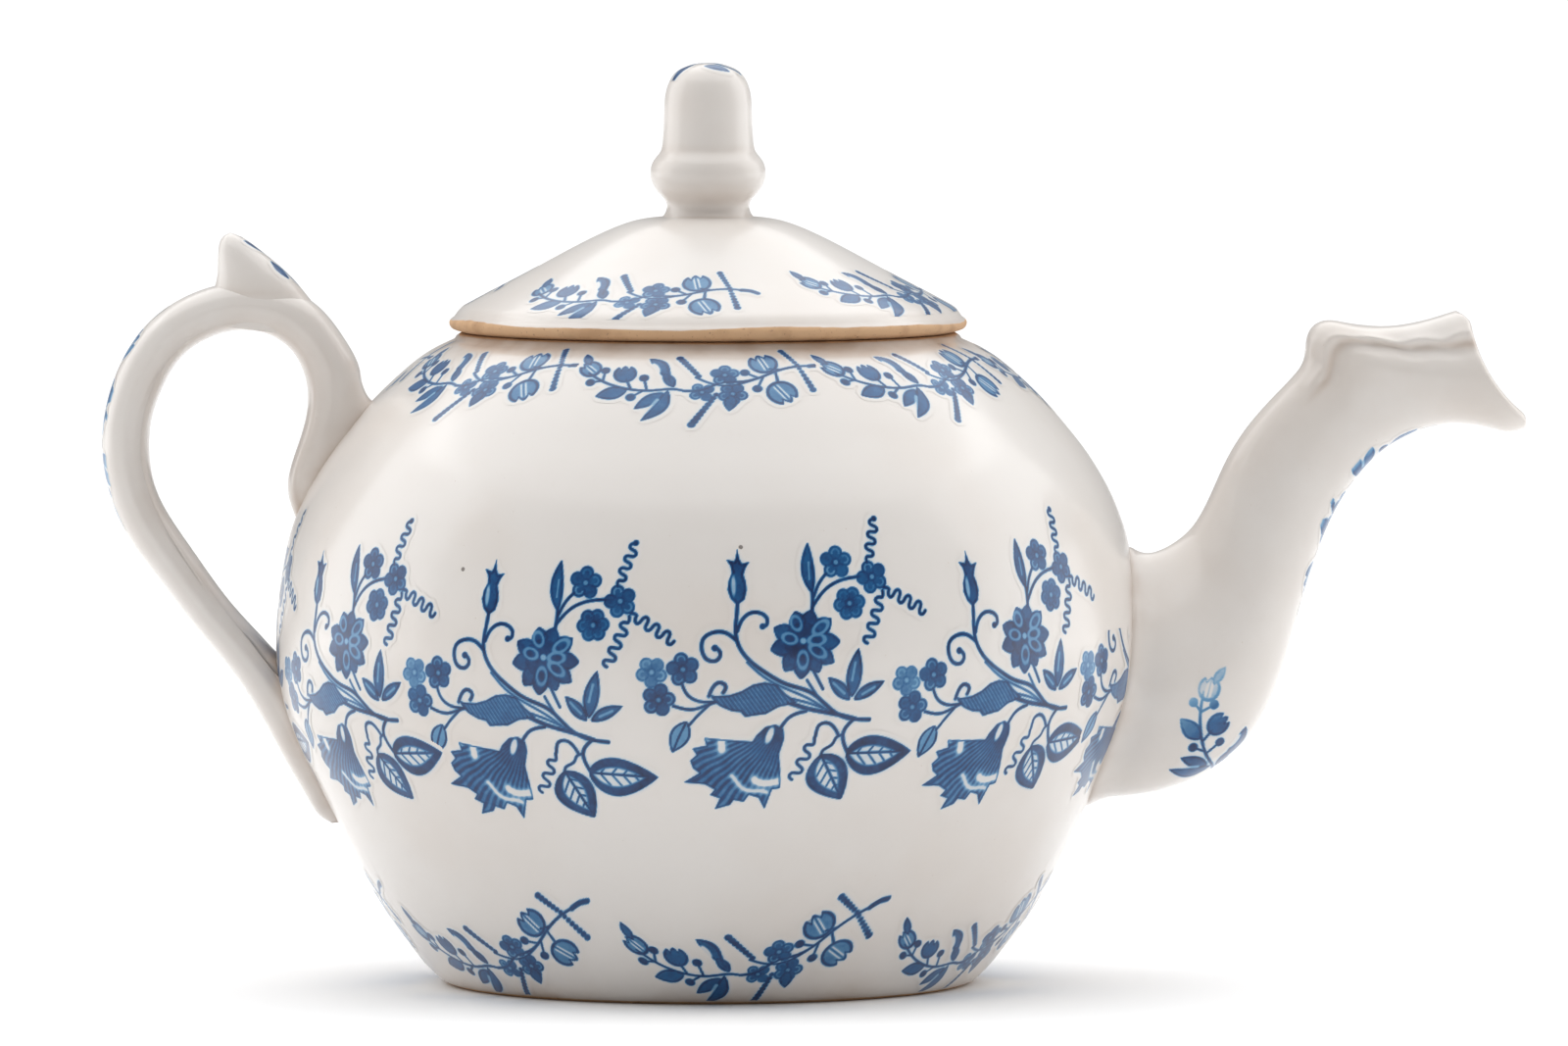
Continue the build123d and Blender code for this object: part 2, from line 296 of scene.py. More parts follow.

# %% [markdown]
# Every clay piece here is a grid of points: rings round an axis, or rings along a bend. So two helpers do
# most of the work: one draws a smooth line through a few given points, and one skins a grid of points as
# a mesh.

# %% Smooth lines and skins
class Bend:
    """A natural cubic curve through points of any dimension, running from 0 to 1."""

    def __init__(self, points, knots=None):
        self.points = np.asarray(points, float)
        count = len(self.points)
        if knots is None:
            steps = np.linalg.norm(np.diff(self.points, axis=0), axis=1)
            knots = np.concatenate([[0], np.cumsum(steps)]) / steps.sum()
        self.knots = np.asarray(knots, float)
        gap = np.diff(self.knots)
        system = np.eye(count)
        wanted = np.zeros_like(self.points)
        for i in range(1, count - 1):
            system[i, i - 1 : i + 2] = gap[i - 1], 2 * (gap[i - 1] + gap[i]), gap[i]
            slope_after = (self.points[i + 1] - self.points[i]) / gap[i]
            slope_before = (self.points[i] - self.points[i - 1]) / gap[i - 1]
            wanted[i] = 6 * (slope_after - slope_before)
        self.second = np.linalg.solve(system, wanted)

    def at(self, t):
        t = np.asarray(t, float)
        i = np.clip(np.searchsorted(self.knots, t) - 1, 0, len(self.knots) - 2)
        gap = (self.knots[i + 1] - self.knots[i])[..., None]
        before = (self.knots[i + 1] - t)[..., None] / gap
        after = 1 - before
        curve = (before**3 - before) * self.second[i] + (after**3 - after) * self.second[i + 1]
        return before * self.points[i] + after * self.points[i + 1] + curve * gap**2 / 6


def even_line(points, step):
    """Points about step apart along a smooth line through the given points."""
    bend = Bend(points)
    fine = bend.at(np.linspace(0, 1, 1200))
    length = np.concatenate([[0], np.cumsum(np.linalg.norm(np.diff(fine, axis=0), axis=1))])
    marks = np.linspace(0, length[-1], max(2, int(round(length[-1] / step)) + 1))
    return np.stack([np.interp(marks, length, fine[:, k]) for k in range(fine.shape[1])], axis=1)


def add_piece(name, points_mm, faces, body, node=None, closed=True, **marks):
    """Makes a mesh piece, paints its marks on the points and ties it to its body."""
    mesh = bpy.data.meshes.new(name)
    mesh.from_pydata((np.asarray(points_mm) * MM).tolist(), [], faces)
    mesh.validate()
    if closed:
        skin = bmesh.new()
        skin.from_mesh(mesh)
        bmesh.ops.recalc_face_normals(skin, faces=skin.faces)
        skin.to_mesh(mesh)
        skin.free()
    mesh.shade_smooth()
    for mark, values in marks.items():
        layer = mesh.attributes.new(mark, "FLOAT", "POINT")
        layer.data.foreach_set("value", np.asarray(values, np.float32).ravel())
    mesh.materials.append(printed_glaze)
    piece = bpy.data.objects.new(name, mesh)
    scene.collection.objects.link(piece)
    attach(piece, body)
    if node:
        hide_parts(node)
    return piece


def ring_faces(rows, columns, closed_rows=False):
    """Quads between rings; closed_rows joins the last ring to the first."""
    faces = []
    for r in range(rows if closed_rows else rows - 1):
        low, high = r * columns, (r + 1) % rows * columns
        for c in range(columns):
            n = (c + 1) % columns
            faces.append((low + c, low + n, high + n, high + c))
    return faces


print("a test arc has", len(even_line([(0, 0), (5, 5), (10, 0)], 0.5)), "even points")

# %% [markdown]
# The body was turned on a wheel, so one line from the foot to the mouth makes its outside. Real turned ware
# is never quite round: the wall wanders by a tenth of a millimetre or two, which is what makes its shine
# ripple.

# %% The body's own surface
SEAT_Z = box_mm("pot_body")[1][2]
BODY_LINE = [
    (44.6, 0.0), (45.8, 0.45), (48.2, 2.4), (52.1, 7.2), (55.8, 12.3), (61.4, 22.5), (67.4, 34.4),
    (71.5, 42.9), (74.1, 51.4), (74.8, 59.5), (74.1, 68.4), (72.2, 78.6), (68.9, 86.6), (66.0, 91.4),
    (62.1, 96.5), (57.6, 101.6), (52.3, 106.6), (48.6, 109.4), (44.0, 111.7),
]


def wander(angle, z):
    """How far the turned wall strays from true, in mm."""
    slow = 0.11 * np.sin(2 * angle + 0.7) + 0.07 * np.sin(3 * angle + z / 19 + 2.1)
    quick = 0.035 * np.sin(7 * angle + z / 9) * np.sin(z / 13 + 1.0) + 0.018 * np.sin(z * 0.83)
    fade = np.clip(z / 12, 0, 1) * np.clip((SEAT_Z - 2 - z) / 14, 0, 1)
    return (slow + quick) * fade


class TurnedWall:
    """The outside of a turned piece, as (angle, distance walked up along its line)."""

    def __init__(self, line, stray=None):
        self.line = even_line(line, 0.25)
        self.stray = stray
        steps = np.linalg.norm(np.diff(self.line, axis=0), axis=1)
        self.walked = np.concatenate([[0], np.cumsum(steps)])

    def at(self, walk):
        radius, height = self.line.T
        return np.interp(walk, self.walked, radius), np.interp(walk, self.walked, height)

    def walk_at(self, z):
        return float(self.walked[np.argmin(np.abs(self.line[:, 1] - z))])

    def point(self, angle, walk, lift=0.0):
        r, z = self.at(walk)
        ahead, behind = self.at(walk + 0.5), self.at(walk - 0.5)
        rise, run = ahead[1] - behind[1], ahead[0] - behind[0]
        size = np.hypot(rise, run) + 1e-9
        if self.stray:
            r = r + self.stray(angle, z)
        r = r + lift * rise / size
        return np.stack([r * np.cos(angle), r * np.sin(angle), z - lift * run / size], axis=-1)


body_wall = TurnedWall(BODY_LINE, wander)


def off_body(points):
    """Roughly how far points stand off the body's outside; inside is negative."""
    r = np.hypot(points[..., 0], points[..., 1])
    z = np.clip(points[..., 2], 0.5, SEAT_Z - 1.2)
    radius, height = body_wall.line.T
    here, above, below = (np.interp(z + step, height, radius) for step in (0, 1, -1))
    slope = (above - below) / 2
    return (r - here) / np.sqrt(1 + slope**2)


print("body outside is", round(body_wall.walked[-1], 1), "mm from foot to mouth")

# %% [markdown]
# The body is a closed shell: up the outside, over the bare seat that carries the lid, and down the inside
# to the floor. Where other pieces are luted on, clay slip and thick glaze gather and go brown, so the stain
# is painted on after the spout and the handle exist. Behind the spout the wall is open, and a pierced
# strainer fills the hole.

# %% Inside line of the body
MOUTH_R = 38.5
INSIDE_FLOOR = 7.4
FOOT_RECESS = box_mm("foot_ring")[1][2]
INSIDE_LINE = [
    (MOUTH_R, 107.8), (39.6, 107.2), (47.4, 104.2), (54.7, 98.8), (62.6, 89.3), (69.0, 75.1), (70.8, 59.2),
    (67.8, 44.2), (60.0, 29.4), (52.6, 15.0), (47.6, 9.4), (40.0, 7.6), (20.0, INSIDE_FLOOR),
    (0.6, INSIDE_FLOOR),
]
SEAT_LINE = [(43.6, 112.3), (42.9, 112.75), (41.5, SEAT_Z), (39.5, SEAT_Z), (38.7, 112.6), (MOUTH_R, 112.0)]
FOOT_LINE = [(0.6, FOOT_RECESS), (38.9, FOOT_RECESS), (39.7, 1.6), (40.4, 0.25), (41.4, 0.0), (43.4, 0.0)]

AROUND = 256
turns = np.arange(AROUND) / AROUND * TAU


def ring_points(line, wandering=True):
    """Rings of points for a line of (radius, height)."""
    line = np.asarray(line)
    r = line[:, :1] + (wander(turns[None, :], line[:, 1:]) if wandering else 0)
    return np.stack([r * np.cos(turns), r * np.sin(turns), np.repeat(line[:, 1:], AROUND, 1)], axis=-1)


outside_line = even_line(BODY_LINE, 0.9)
body_rings = ring_points(np.concatenate([FOOT_LINE, outside_line, SEAT_LINE, even_line(INSIDE_LINE, 2.0)]))
print("body rings", body_rings.shape)

# %% [markdown]
# The spout was cast in a two-part mould: a full pear-shaped belly at the root, a slim neck, and a head with
# a raised crest along its top that ends in a round boss at the back and a lip at the front. It is drawn as
# a row of sections, each from a point on its back to a point on its belly, with a smooth curve through all
# of them.

# %% Spout sections
# each section: back point, belly point, half width, widest place (0 back, 1 belly), how much crest it has
SPOUT = [
    ((64.0, 74.6), (56.0, 33.2), 16.4, 0.60, 0.0),
    ((76.0, 74.3), (69.6, 32.2), 16.4, 0.60, 0.0),
    ((81.3, 76.6), (81.3, 34.2), 15.6, 0.61, 0.0),
    ((84.6, 79.9), (91.9, 40.7), 13.4, 0.61, 0.0),
    ((87.2, 84.8), (98.3, 51.0), 11.2, 0.57, 0.0),
    ((89.8, 90.5), (102.0, 63.2), 9.7, 0.53, 0.0),
    ((93.4, 96.3), (105.8, 75.3), 8.7, 0.51, 0.0),
    ((98.2, 101.8), (111.4, 86.4), 8.1, 0.50, 0.05),
    ((101.6, 105.4), (118.0, 93.2), 7.9, 0.49, 0.30),
    ((103.3, 108.4), (121.6, 95.2), 7.9, 0.48, 0.75),
    ((103.7, 111.6), (124.0, 96.2), 8.0, 0.47, 0.95),
    ((104.9, 113.9), (126.2, 96.7), 8.0, 0.46, 1.0),
    ((107.4, 114.9), (128.3, 97.0), 8.1, 0.45, 1.0),
    ((110.4, 114.5), (130.4, 97.0), 8.1, 0.45, 1.0),
    ((114.0, 114.0), (132.6, 96.8), 8.1, 0.45, 1.0),
    ((118.8, 114.0), (135.4, 96.3), 8.0, 0.46, 1.0),
    ((124.6, 115.2), (139.0, 95.8), 7.9, 0.48, 0.95),
    ((130.4, 117.1), (142.4, 96.7), 7.7, 0.52, 0.8),
]
stations = np.array([[*back, *belly, *rest] for back, belly, *rest in SPOUT])
middles = (stations[:, 0:2] + stations[:, 2:4]) / 2
walked = np.concatenate([[0], np.cumsum(np.linalg.norm(np.diff(middles, axis=0), axis=1))])
spout_bend = Bend(stations, walked / walked[-1])
print("spout's middle line is", round(walked[-1], 1), "mm long")

# %% Points on the spout
# how far out the head's side stands, from the crest (0) to its middle: a sloping facet, a groove, the cheek
crest_line = even_line([
    (0.0, 0.0), (0.012, 0.26), (0.04, 0.44), (0.09, 0.62), (0.14, 0.76), (0.175, 0.82), (0.205, 0.80),
    (0.235, 0.755), (0.275, 0.775), (0.34, 0.88), (0.42, 0.965), (0.52, 1.0), (0.62, 0.99),
], 0.01)


def spout_point(t, turn, inset=0.0):
    """A point of the spout: t runs from root to mouth, turn from the back round to the back again."""
    s = spout_bend.at(t)
    back, belly = s[..., 0:2], s[..., 2:4]
    half, widest, crest = s[..., 4], s[..., 5], np.clip(s[..., 6], 0, 1)
    run = belly - back
    length = np.linalg.norm(run, axis=-1)
    down = run / length[..., None]
    depth = (1 - np.cos(turn)) / 2
    side = np.sin(turn)
    skewed = depth ** (np.log(widest) / np.log(0.5))
    across = np.sign(side) * np.abs(side) ** 0.86
    waved = depth + 0.022 * np.sin(t * 96.0 + 0.5) * np.exp(-(((depth - 0.2) / 0.12) ** 2))
    crested = np.sign(side) * np.interp(waved, crest_line[:, 0], crest_line[:, 1])
    blend = crest * np.clip(1 - (depth - 0.40) / 0.20, 0, 1)
    across = across * (1 - blend) + crested * blend
    across = across * (depth > 0) * (depth < 1 - 1e-12)
    place = back + down * (inset + skewed * (length - 2 * inset))[..., None]
    return np.stack([place[..., 0], across * (half - inset), place[..., 1]], axis=-1)


def first_crossing(surface, turn, level, from_end=False):
    """For each turn, the t where a surface leaves the body's wall."""
    t = np.linspace(0, 1, 700)
    if from_end:
        t = t[::-1]
    grid_t, grid_turn = np.meshgrid(t, turn, indexing="ij")
    stand = off_body(surface(grid_t, grid_turn))
    hit = np.argmax(stand > level, axis=0)
    hit = np.maximum(hit, 1)
    columns = np.arange(len(turn))
    low, high = stand[hit - 1, columns], stand[hit, columns]
    share = np.clip((level - low) / (high - low + 1e-9), 0, 1)
    return t[hit - 1] + (t[hit] - t[hit - 1]) * share


def flared(points, centre, reach, push):
    """Spreads a root where it meets the body, as slip wiped round the join does."""
    stand = np.clip(off_body(points), -1.5, reach)
    amount = push * (1 - np.clip(stand, 0, None) / reach) ** 2.2
    away = points - centre
    away /= np.linalg.norm(away, axis=-1, keepdims=True) + 1e-9
    return points + away * amount[..., None]


tip_back, tip_belly = spout_point(np.array([1.0, 1.0]), np.array([0.0, math.pi]))
print("spout mouth from", tip_back.round(1), "to", tip_belly.round(1))

# %% [markdown]
# The skin of the spout starts a little inside the body's wall, so no gap shows, and its root flares as slip
# does when a finger wipes it round the join. A potter cuts the mouth across while the clay is leather hard,
# which hollows it slightly and rounds its lip. Outside, lip and inside are rings of one closed mesh.

# %% Outside of the spout
SPOUT_ROWS, SPOUT_TURNS = 190, 168
BURIED = -1.6    # mm inside the body's wall, where the skins of spout and handle start
spout_turn = np.arange(SPOUT_TURNS) / SPOUT_TURNS * TAU
start = first_crossing(spout_point, spout_turn, BURIED)
rows = np.linspace(0, 1, SPOUT_ROWS)[:, None]
t_outer = start[None, :] + (1 - start[None, :]) * rows
turn_grid = np.broadcast_to(spout_turn[None, :], t_outer.shape)
outer = spout_point(t_outer, turn_grid)
centre = outer.mean(axis=1, keepdims=True)
outer = flared(outer, centre, 4.5, 1.5)

mouth = outer[-1]
mouth_centre = mouth.mean(axis=0)
MOUTH_BACK, MOUTH_BELLY = (130.6, 117.2), (142.6, 96.6)
mouth_down = np.array([MOUTH_BELLY[0] - MOUTH_BACK[0], 0, MOUTH_BELLY[1] - MOUTH_BACK[1]])
mouth_down /= np.linalg.norm(mouth_down)
mouth_out = np.array([-mouth_down[2], 0, mouth_down[0]])
along_mouth = (mouth - mouth_centre) @ mouth_down
hollow = 2.3 * np.clip(1 - (along_mouth / 12.0) ** 2, 0, 1)
hollow += 1.3 * np.clip((np.abs(along_mouth) - 9.9) / 2.0, 0, 1) ** 2


def hollowed(points, t):
    """Draws the last stretch of the spout back towards the hollow of its mouth."""
    near_mouth = np.clip((t - 0.86) / 0.14, 0, 1) ** 2
    return points - mouth_out * (hollow[None, :] * near_mouth)[..., None]


outer = hollowed(outer, rows)
print("outside of the spout:", outer.shape[0], "rings of", outer.shape[1], "points")

# %% Lip and inside of the spout
SPOUT_WALL = 3.2
INNER_ROWS = 70
lip_rows = []
for turn_of_lip in np.linspace(0, math.pi, 7)[1:-1]:
    inward = spout_point(np.ones(SPOUT_TURNS), spout_turn, SPOUT_WALL * 0.36 * (1 - math.cos(turn_of_lip)))
    inward = inward - mouth_out * hollow[:, None] + mouth_out * (0.75 * math.sin(turn_of_lip))
    lip_rows.append(inward)
t_inner = np.linspace(1, 0, INNER_ROWS)[:, None] * (1 - start[None, :]) + start[None, :]
inner = spout_point(t_inner, np.broadcast_to(spout_turn[None, :], t_inner.shape), SPOUT_WALL * 0.72)
inner = hollowed(inner, t_inner)
spout_grid = np.concatenate([outer, np.array(lip_rows), inner])
spout_points = spout_grid.reshape(-1, 3)
spout_stain = 0.34 * np.exp(-np.clip(off_body(spout_points), 0, None) / 1.1) + 0.07
depths = np.tile((1 - np.cos(spout_turn)) / 2, len(spout_grid))
head = np.clip((spout_points[:, 0] - 101) / 3, 0, 1) * np.clip((spout_points[:, 2] - 100) / 5, 0, 1)
spout_stain += 0.30 * head * np.exp(-(((depths - 0.235) / 0.035) ** 2))
spout_faces = ring_faces(len(spout_grid), SPOUT_TURNS, closed_rows=True)
spout = add_piece("spout_cast", spout_points, spout_faces, "pot", "spout", stain=spout_stain)
print("spout has", len(spout_points), "points")

# %% [markdown]
# The handle is a pulled strap: thick in the middle of its outer side, thinner to its edges, with a long
# root pressed on to the shoulder and another run down along the body. It is skinned from sections in the
# same way, and each root is cut off where it passes into the wall.

# %% Handle sections
# each section: outer point, inner point, half width across the pot
HANDLE = [
    ((-53.0, 93.0), (-65.5, 78.0), 7.2),
    ((-57.6, 99.2), (-71.2, 80.8), 7.2),
    ((-59.5, 102.6), (-72.9, 86.0), 7.0),
    ((-60.2, 105.4), (-70.6, 94.8), 6.8),
    ((-61.1, 108.3), (-69.4, 102.4), 6.6),
    ((-63.4, 112.2), (-70.9, 107.8), 6.5),
    ((-67.6, 117.3), (-73.6, 111.0), 6.4),
    ((-73.6, 120.6), (-76.8, 112.7), 6.4),
    ((-81.0, 121.5), (-81.2, 113.2), 6.3),
    ((-89.2, 119.6), (-86.4, 111.9), 6.3),
    ((-96.4, 115.0), (-91.2, 108.6), 6.3),
    ((-101.8, 107.4), (-94.8, 102.8), 6.3),
    ((-104.7, 98.0), (-96.8, 95.8), 6.3),
    ((-104.6, 88.6), (-96.4, 87.8), 6.3),
    ((-101.6, 79.4), (-93.9, 81.6), 6.3),
    ((-96.0, 71.0), (-89.2, 74.6), 6.2),
    ((-89.4, 62.4), (-82.8, 65.8), 6.1),
    ((-82.6, 54.0), (-75.4, 57.6), 6.0),
    ((-77.0, 45.2), (-69.4, 48.6), 5.8),
    ((-72.6, 37.2), (-66.2, 40.0), 5.4),
    ((-70.4, 33.4), (-64.6, 36.0), 5.0),
    ((-68.8, 30.6), (-63.2, 33.0), 4.4),
    ((-67.3, 28.7), (-62.0, 30.8), 3.4),
    ((-65.4, 27.6), (-61.0, 29.4), 2.2),
]
handle_bend = Bend(np.array([[*far_side, *near_side, width] for far_side, near_side, width in HANDLE]))


def squarish(turn, along_power, across_power):
    """How far along and across a section each turn stands, from -1 to 1; low powers make it squarer."""
    c, d = np.cos(turn), np.sin(turn)
    return np.sign(c) * np.abs(c) ** along_power, np.sign(d) * np.abs(d) ** across_power


def handle_point(t, turn):
    """A point of the strap: t runs from the upper root to the lower one, turn from its outer side."""
    s = handle_bend.at(t)
    middle = (s[..., 0:2] + s[..., 2:4]) / 2
    reach = (s[..., 0:2] - s[..., 2:4]) / 2
    along, across = squarish(turn, 0.80, 0.78)
    seam = 0.22 * np.exp(-((np.cos(turn) / 0.10) ** 2)) * np.sign(np.sin(turn))
    place = middle + reach * along[..., None]
    return np.stack([place[..., 0], across * s[..., 4] + seam, place[..., 1]], axis=-1)


print("handle is drawn from", len(HANDLE), "sections, half width", HANDLE[0][2], "to", HANDLE[-1][2], "mm")

# %% [markdown]
# The strap is one tube of rings, closed by a face at each buried end. Glaze gathers brown at both roots, so
# the stain falls off with the distance from the body. The side of the strap that faces the body gets painted
# shade in the same brown, which turns with the strap.

# %% Handle mesh
HANDLE_ROWS, HANDLE_TURNS = 260, 72
handle_turn = (np.arange(HANDLE_TURNS) + 0.5) / HANDLE_TURNS * TAU
t_first = first_crossing(handle_point, handle_turn, BURIED)
t_last = first_crossing(handle_point, handle_turn, BURIED, from_end=True)
rows = np.linspace(0, 1, HANDLE_ROWS)[:, None]
t_strap = t_first + (t_last - t_first) * rows
strap = handle_point(t_strap, np.broadcast_to(handle_turn, t_strap.shape))
strap = flared(strap, strap.mean(axis=1, keepdims=True), 2.0, 0.35)
strap_points = strap.reshape(-1, 3)
strap_faces = ring_faces(HANDLE_ROWS, HANDLE_TURNS)
strap_faces.append(tuple(range(HANDLE_TURNS))[::-1])
strap_faces.append(tuple(range((HANDLE_ROWS - 1) * HANDLE_TURNS, HANDLE_ROWS * HANDLE_TURNS)))
strap_stain_and_shade = 0.34 * np.exp(-np.clip(off_body(strap_points), 0, None) / 1.3)
# a light brown over the whole strap, and painted shade on the side that faces the body
strap_stain_and_shade += np.tile(0.06 + 0.13 * np.clip(0.25 - np.cos(handle_turn), 0, 1), HANDLE_ROWS)
handle = add_piece("handle_strap", strap_points, strap_faces, "pot", "handle", stain=strap_stain_and_shade)
print("handle has", len(strap_points), "points")

# %% [markdown]
# The thumb rest is a small spur pressed on to the top of the strap. Its mesh starts inside the strap, so
# the two pieces meet in a soft crease.

# %% Thumb rest
# each section: back point, slope point, half width
SPUR = [
    ((-90.0, 114.8), (-64.6, 111.6), 5.2),
    ((-87.6, 117.4), (-66.6, 115.2), 6.05),
    ((-86.0, 119.6), (-69.2, 118.8), 6.1),
    ((-85.2, 121.8), (-71.9, 122.0), 5.6),
    ((-85.0, 124.2), (-75.0, 124.9), 4.8),
    ((-84.9, 126.6), (-78.0, 127.3), 3.8),
    ((-84.6, 128.4), (-80.2, 128.9), 2.7),
    ((-83.9, 129.5), (-81.7, 129.7), 1.3),
    ((-83.2, 129.9), (-82.4, 129.95), 0.3),
]
SPUR_ROWS, SPUR_TURNS = 60, 48
spur_bend = Bend(np.array([[*back, *slope, width] for back, slope, width in SPUR]))
spur_t = np.linspace(0, 1, SPUR_ROWS)[:, None]
spur_turn = (np.arange(SPUR_TURNS) + 0.5) / SPUR_TURNS * TAU
s = spur_bend.at(np.broadcast_to(spur_t, (SPUR_ROWS, SPUR_TURNS)))
middle, reach = (s[..., 0:2] + s[..., 2:4]) / 2, (s[..., 2:4] - s[..., 0:2]) / 2
along, across = squarish(spur_turn, 0.9, 0.85)
place = middle + reach * along[..., None]
spur_rings = np.stack([place[..., 0], across * np.maximum(s[..., 4], 0.1), place[..., 1]], -1)
spur_points = np.concatenate([spur_rings.reshape(-1, 3), [spur_rings[-1].mean(axis=0) + [0, 0, 0.12]]])
spur_faces = ring_faces(SPUR_ROWS, SPUR_TURNS)
last = (SPUR_ROWS - 1) * SPUR_TURNS
spur_faces += [(last + i, last + (i + 1) % SPUR_TURNS, len(spur_points) - 1) for i in range(SPUR_TURNS)]
spur_faces.append(tuple(range(SPUR_TURNS))[::-1])
spur_stain = 0.06 + 0.16 * np.exp(-np.abs(spur_points[:, 2] - 119.8) / 1.2)
thumb_rest = add_piece("thumb_rest_spur", spur_points, spur_faces, "pot", "thumb_rest", stain=spur_stain)
print("thumb rest has", len(spur_points), "points")

# %% [markdown]
# Now the body itself. The distance from each of its points to the spout and the handle says how brown the
# glaze is there. Near the foot the glaze runs thin over the clay. Just under the lid the brown is partly
# glaze that has crept back and partly painted shadow from the lid's edge.

# %% Brown glaze and painted lid shadow on the body
def tree_of(pieces):
    """One search tree over the meshes of some pieces, in mm."""
    points, polygons = [], []
    for piece in pieces:
        first = len(points)
        points += [v.co / MM for v in piece.data.vertices]
        polygons += [[first + i for i in p.vertices] for p in piece.data.polygons]
    return BVHTree.FromPolygons(points, polygons)


joined = tree_of([spout, handle])
FAR = 7.0    # mm; beyond this a joint doesn't stain the glaze


def joint_stain(points):
    """Brown glaze gathered where the spout and the handle meet the body."""
    near = np.array([joined.find_nearest(Vector(p), FAR)[3] or FAR for p in points.reshape(-1, 3)])
    return (0.34 * np.exp(-near / 0.9) + 0.14 * np.exp(-near / 3.2)).reshape(points.shape[:-1])


def body_stain_and_lid_shadow(points):
    z = points[..., 2]
    angle = np.arctan2(points[..., 1], points[..., 0])
    uneven = 1 + 0.35 * np.sin(5 * angle + 1.3) + 0.25 * np.sin(11 * angle + 0.4)
    foot = (0.30 * np.exp(-np.clip(z - 0.4, 0, None) / 1.6) + 0.10 * np.exp(-z / 6.0)) * uneven
    # painted shadow under the lid's edge, darker towards the seat; partly brown where the glaze crept back
    under_lid_stain_and_shadow = 0.55 * np.clip((z - 108.2) / 3.8, 0, 1) ** 1.4 * (0.8 + 0.2 * uneven)
    return foot + under_lid_stain_and_shadow


INSIDE_STAIN = 0.06
seat_row = len(FOOT_LINE) + len(outside_line)
stain = body_stain_and_lid_shadow(body_rings)
stain[seat_row + 2 :] = INSIDE_STAIN
stain[: seat_row + 2] += joint_stain(body_rings[: seat_row + 2])
print("stain on the body from", round(float(stain.min()), 2), "to", round(float(stain.max()), 2))

# %% [markdown]
# The foot stands on bare clay, because glaze would stick to the kiln shelf, and the seat under the lid was
# wiped clean for the same reason. The rings are closed by one point under the pot and one on its inside
# floor.

# %% Body mesh
bare_rows = np.zeros(len(body_rings))
bare_rows[1 : len(FOOT_LINE) + 2] = 1.0
bare_rows[seat_row + 1 : seat_row + len(SEAT_LINE)] = 1.0
bare = np.repeat(bare_rows[:, None], AROUND, 1)

middle_points = [[0.0, 0.0, FOOT_RECESS], [0.0, 0.0, INSIDE_FLOOR]]
body_points = np.concatenate([body_rings.reshape(-1, 3), middle_points])
count = len(body_rings) * AROUND
body_faces = ring_faces(len(body_rings), AROUND)
body_faces += [((i + 1) % AROUND, i, count) for i in range(AROUND)]
body_faces += [(count - AROUND + i, count - AROUND + (i + 1) % AROUND, count + 1) for i in range(AROUND)]
body = add_piece(
    "body_turned", body_points, body_faces, "pot", "pot_body",
    stain=np.concatenate([stain.ravel(), [0.1, INSIDE_STAIN]]), bare=np.concatenate([bare.ravel(), [0, 0]]),
)
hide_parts("foot_ring")
print("body has", len(body_points), "points before the bore")

# %% [markdown]
# A potter cuts a hole in the wall before the spout goes on. Here a round bar is taken out of the mesh, as
# wide and as high as the strainer that fills the hole. The strainer keeps the engineering model's own mesh,
# since it is a pierced piece of the same wall, and only gets the finish of the pot.

# %% The hole behind the spout
BORE_TURNS = 64
BORE_FROM, BORE_TO = 56, 84    # mm from the pot's axis
strainer_low, strainer_high = box_mm("strainer")
bore_z = (strainer_low[2] + strainer_high[2]) / 2
bore_r = (strainer_high[2] - strainer_low[2]) / 2
bore_turn = np.arange(BORE_TURNS) / BORE_TURNS * TAU
bore_y, bore_height = bore_r * np.cos(bore_turn), bore_z + bore_r * np.sin(bore_turn)
bore_ring = np.stack([0 * bore_turn, bore_y, bore_height], axis=1)
bore_rings = np.stack([bore_ring + [BORE_FROM, 0, 0], bore_ring + [BORE_TO, 0, 0]])
bore_faces = ring_faces(2, BORE_TURNS)
bore_faces += [tuple(range(BORE_TURNS))[::-1], tuple(range(BORE_TURNS, 2 * BORE_TURNS))]
bore_mesh = bpy.data.meshes.new("spout_bore")
bore_mesh.from_pydata((bore_rings.reshape(-1, 3) * MM).tolist(), [], bore_faces)
bore = bpy.data.objects.new("spout_bore", bore_mesh)
scene.collection.objects.link(bore)
cut = body.modifiers.new("bore", "BOOLEAN")
cut.object = bore
cut.operation = "DIFFERENCE"
cut.solver = "EXACT"
scene.view_layers[0].update()
cut_mesh = bpy.data.meshes.new_from_object(body.evaluated_get(bpy.context.evaluated_depsgraph_get()))
body.modifiers.clear()
body.data = cut_mesh
bpy.data.objects.remove(bore)
body.data.shade_smooth()
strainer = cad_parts["strainer"]
strainer.data.materials.clear()
strainer.data.materials.append(printed_glaze)
print("bore", bore_r, "mm in radius at z", bore_z, "and", len(body.data.vertices), "points in the body now")

# %% [markdown]
# The lid was thrown upside down and turned: a flat edge that was wiped clean of glaze so it wouldn't stick
# in the kiln, a low dome, and under it a ring that drops into the mouth and keeps the lid from sliding off.

# %% Lid
LID_LINE = [
    (41.9, 112.85), (43.8, 113.35), (44.5, 113.7), (44.8, 114.2), (44.85, 114.7), (44.6, 115.15),
    (44.0, 115.6),
]
DOME_LINE = [
    (44.0, 115.6), (43.0, 116.9), (41.3, 118.0), (38.8, 119.35), (33.9, 121.9), (29.2, 124.4),
    (24.4, 127.0), (19.5, 129.5), (15.4, 131.3), (12.4, 132.25), (9.5, 132.72), (7.25, 132.9),
]
UNDER_LINE = [
    (3.0, 129.6), (8.0, 128.6), (20.0, 124.6), (28.0, 121.0), (33.0, 117.6), (34.0, 113.4),
]


def nowhere(r, z, angle):
    return 0 * z


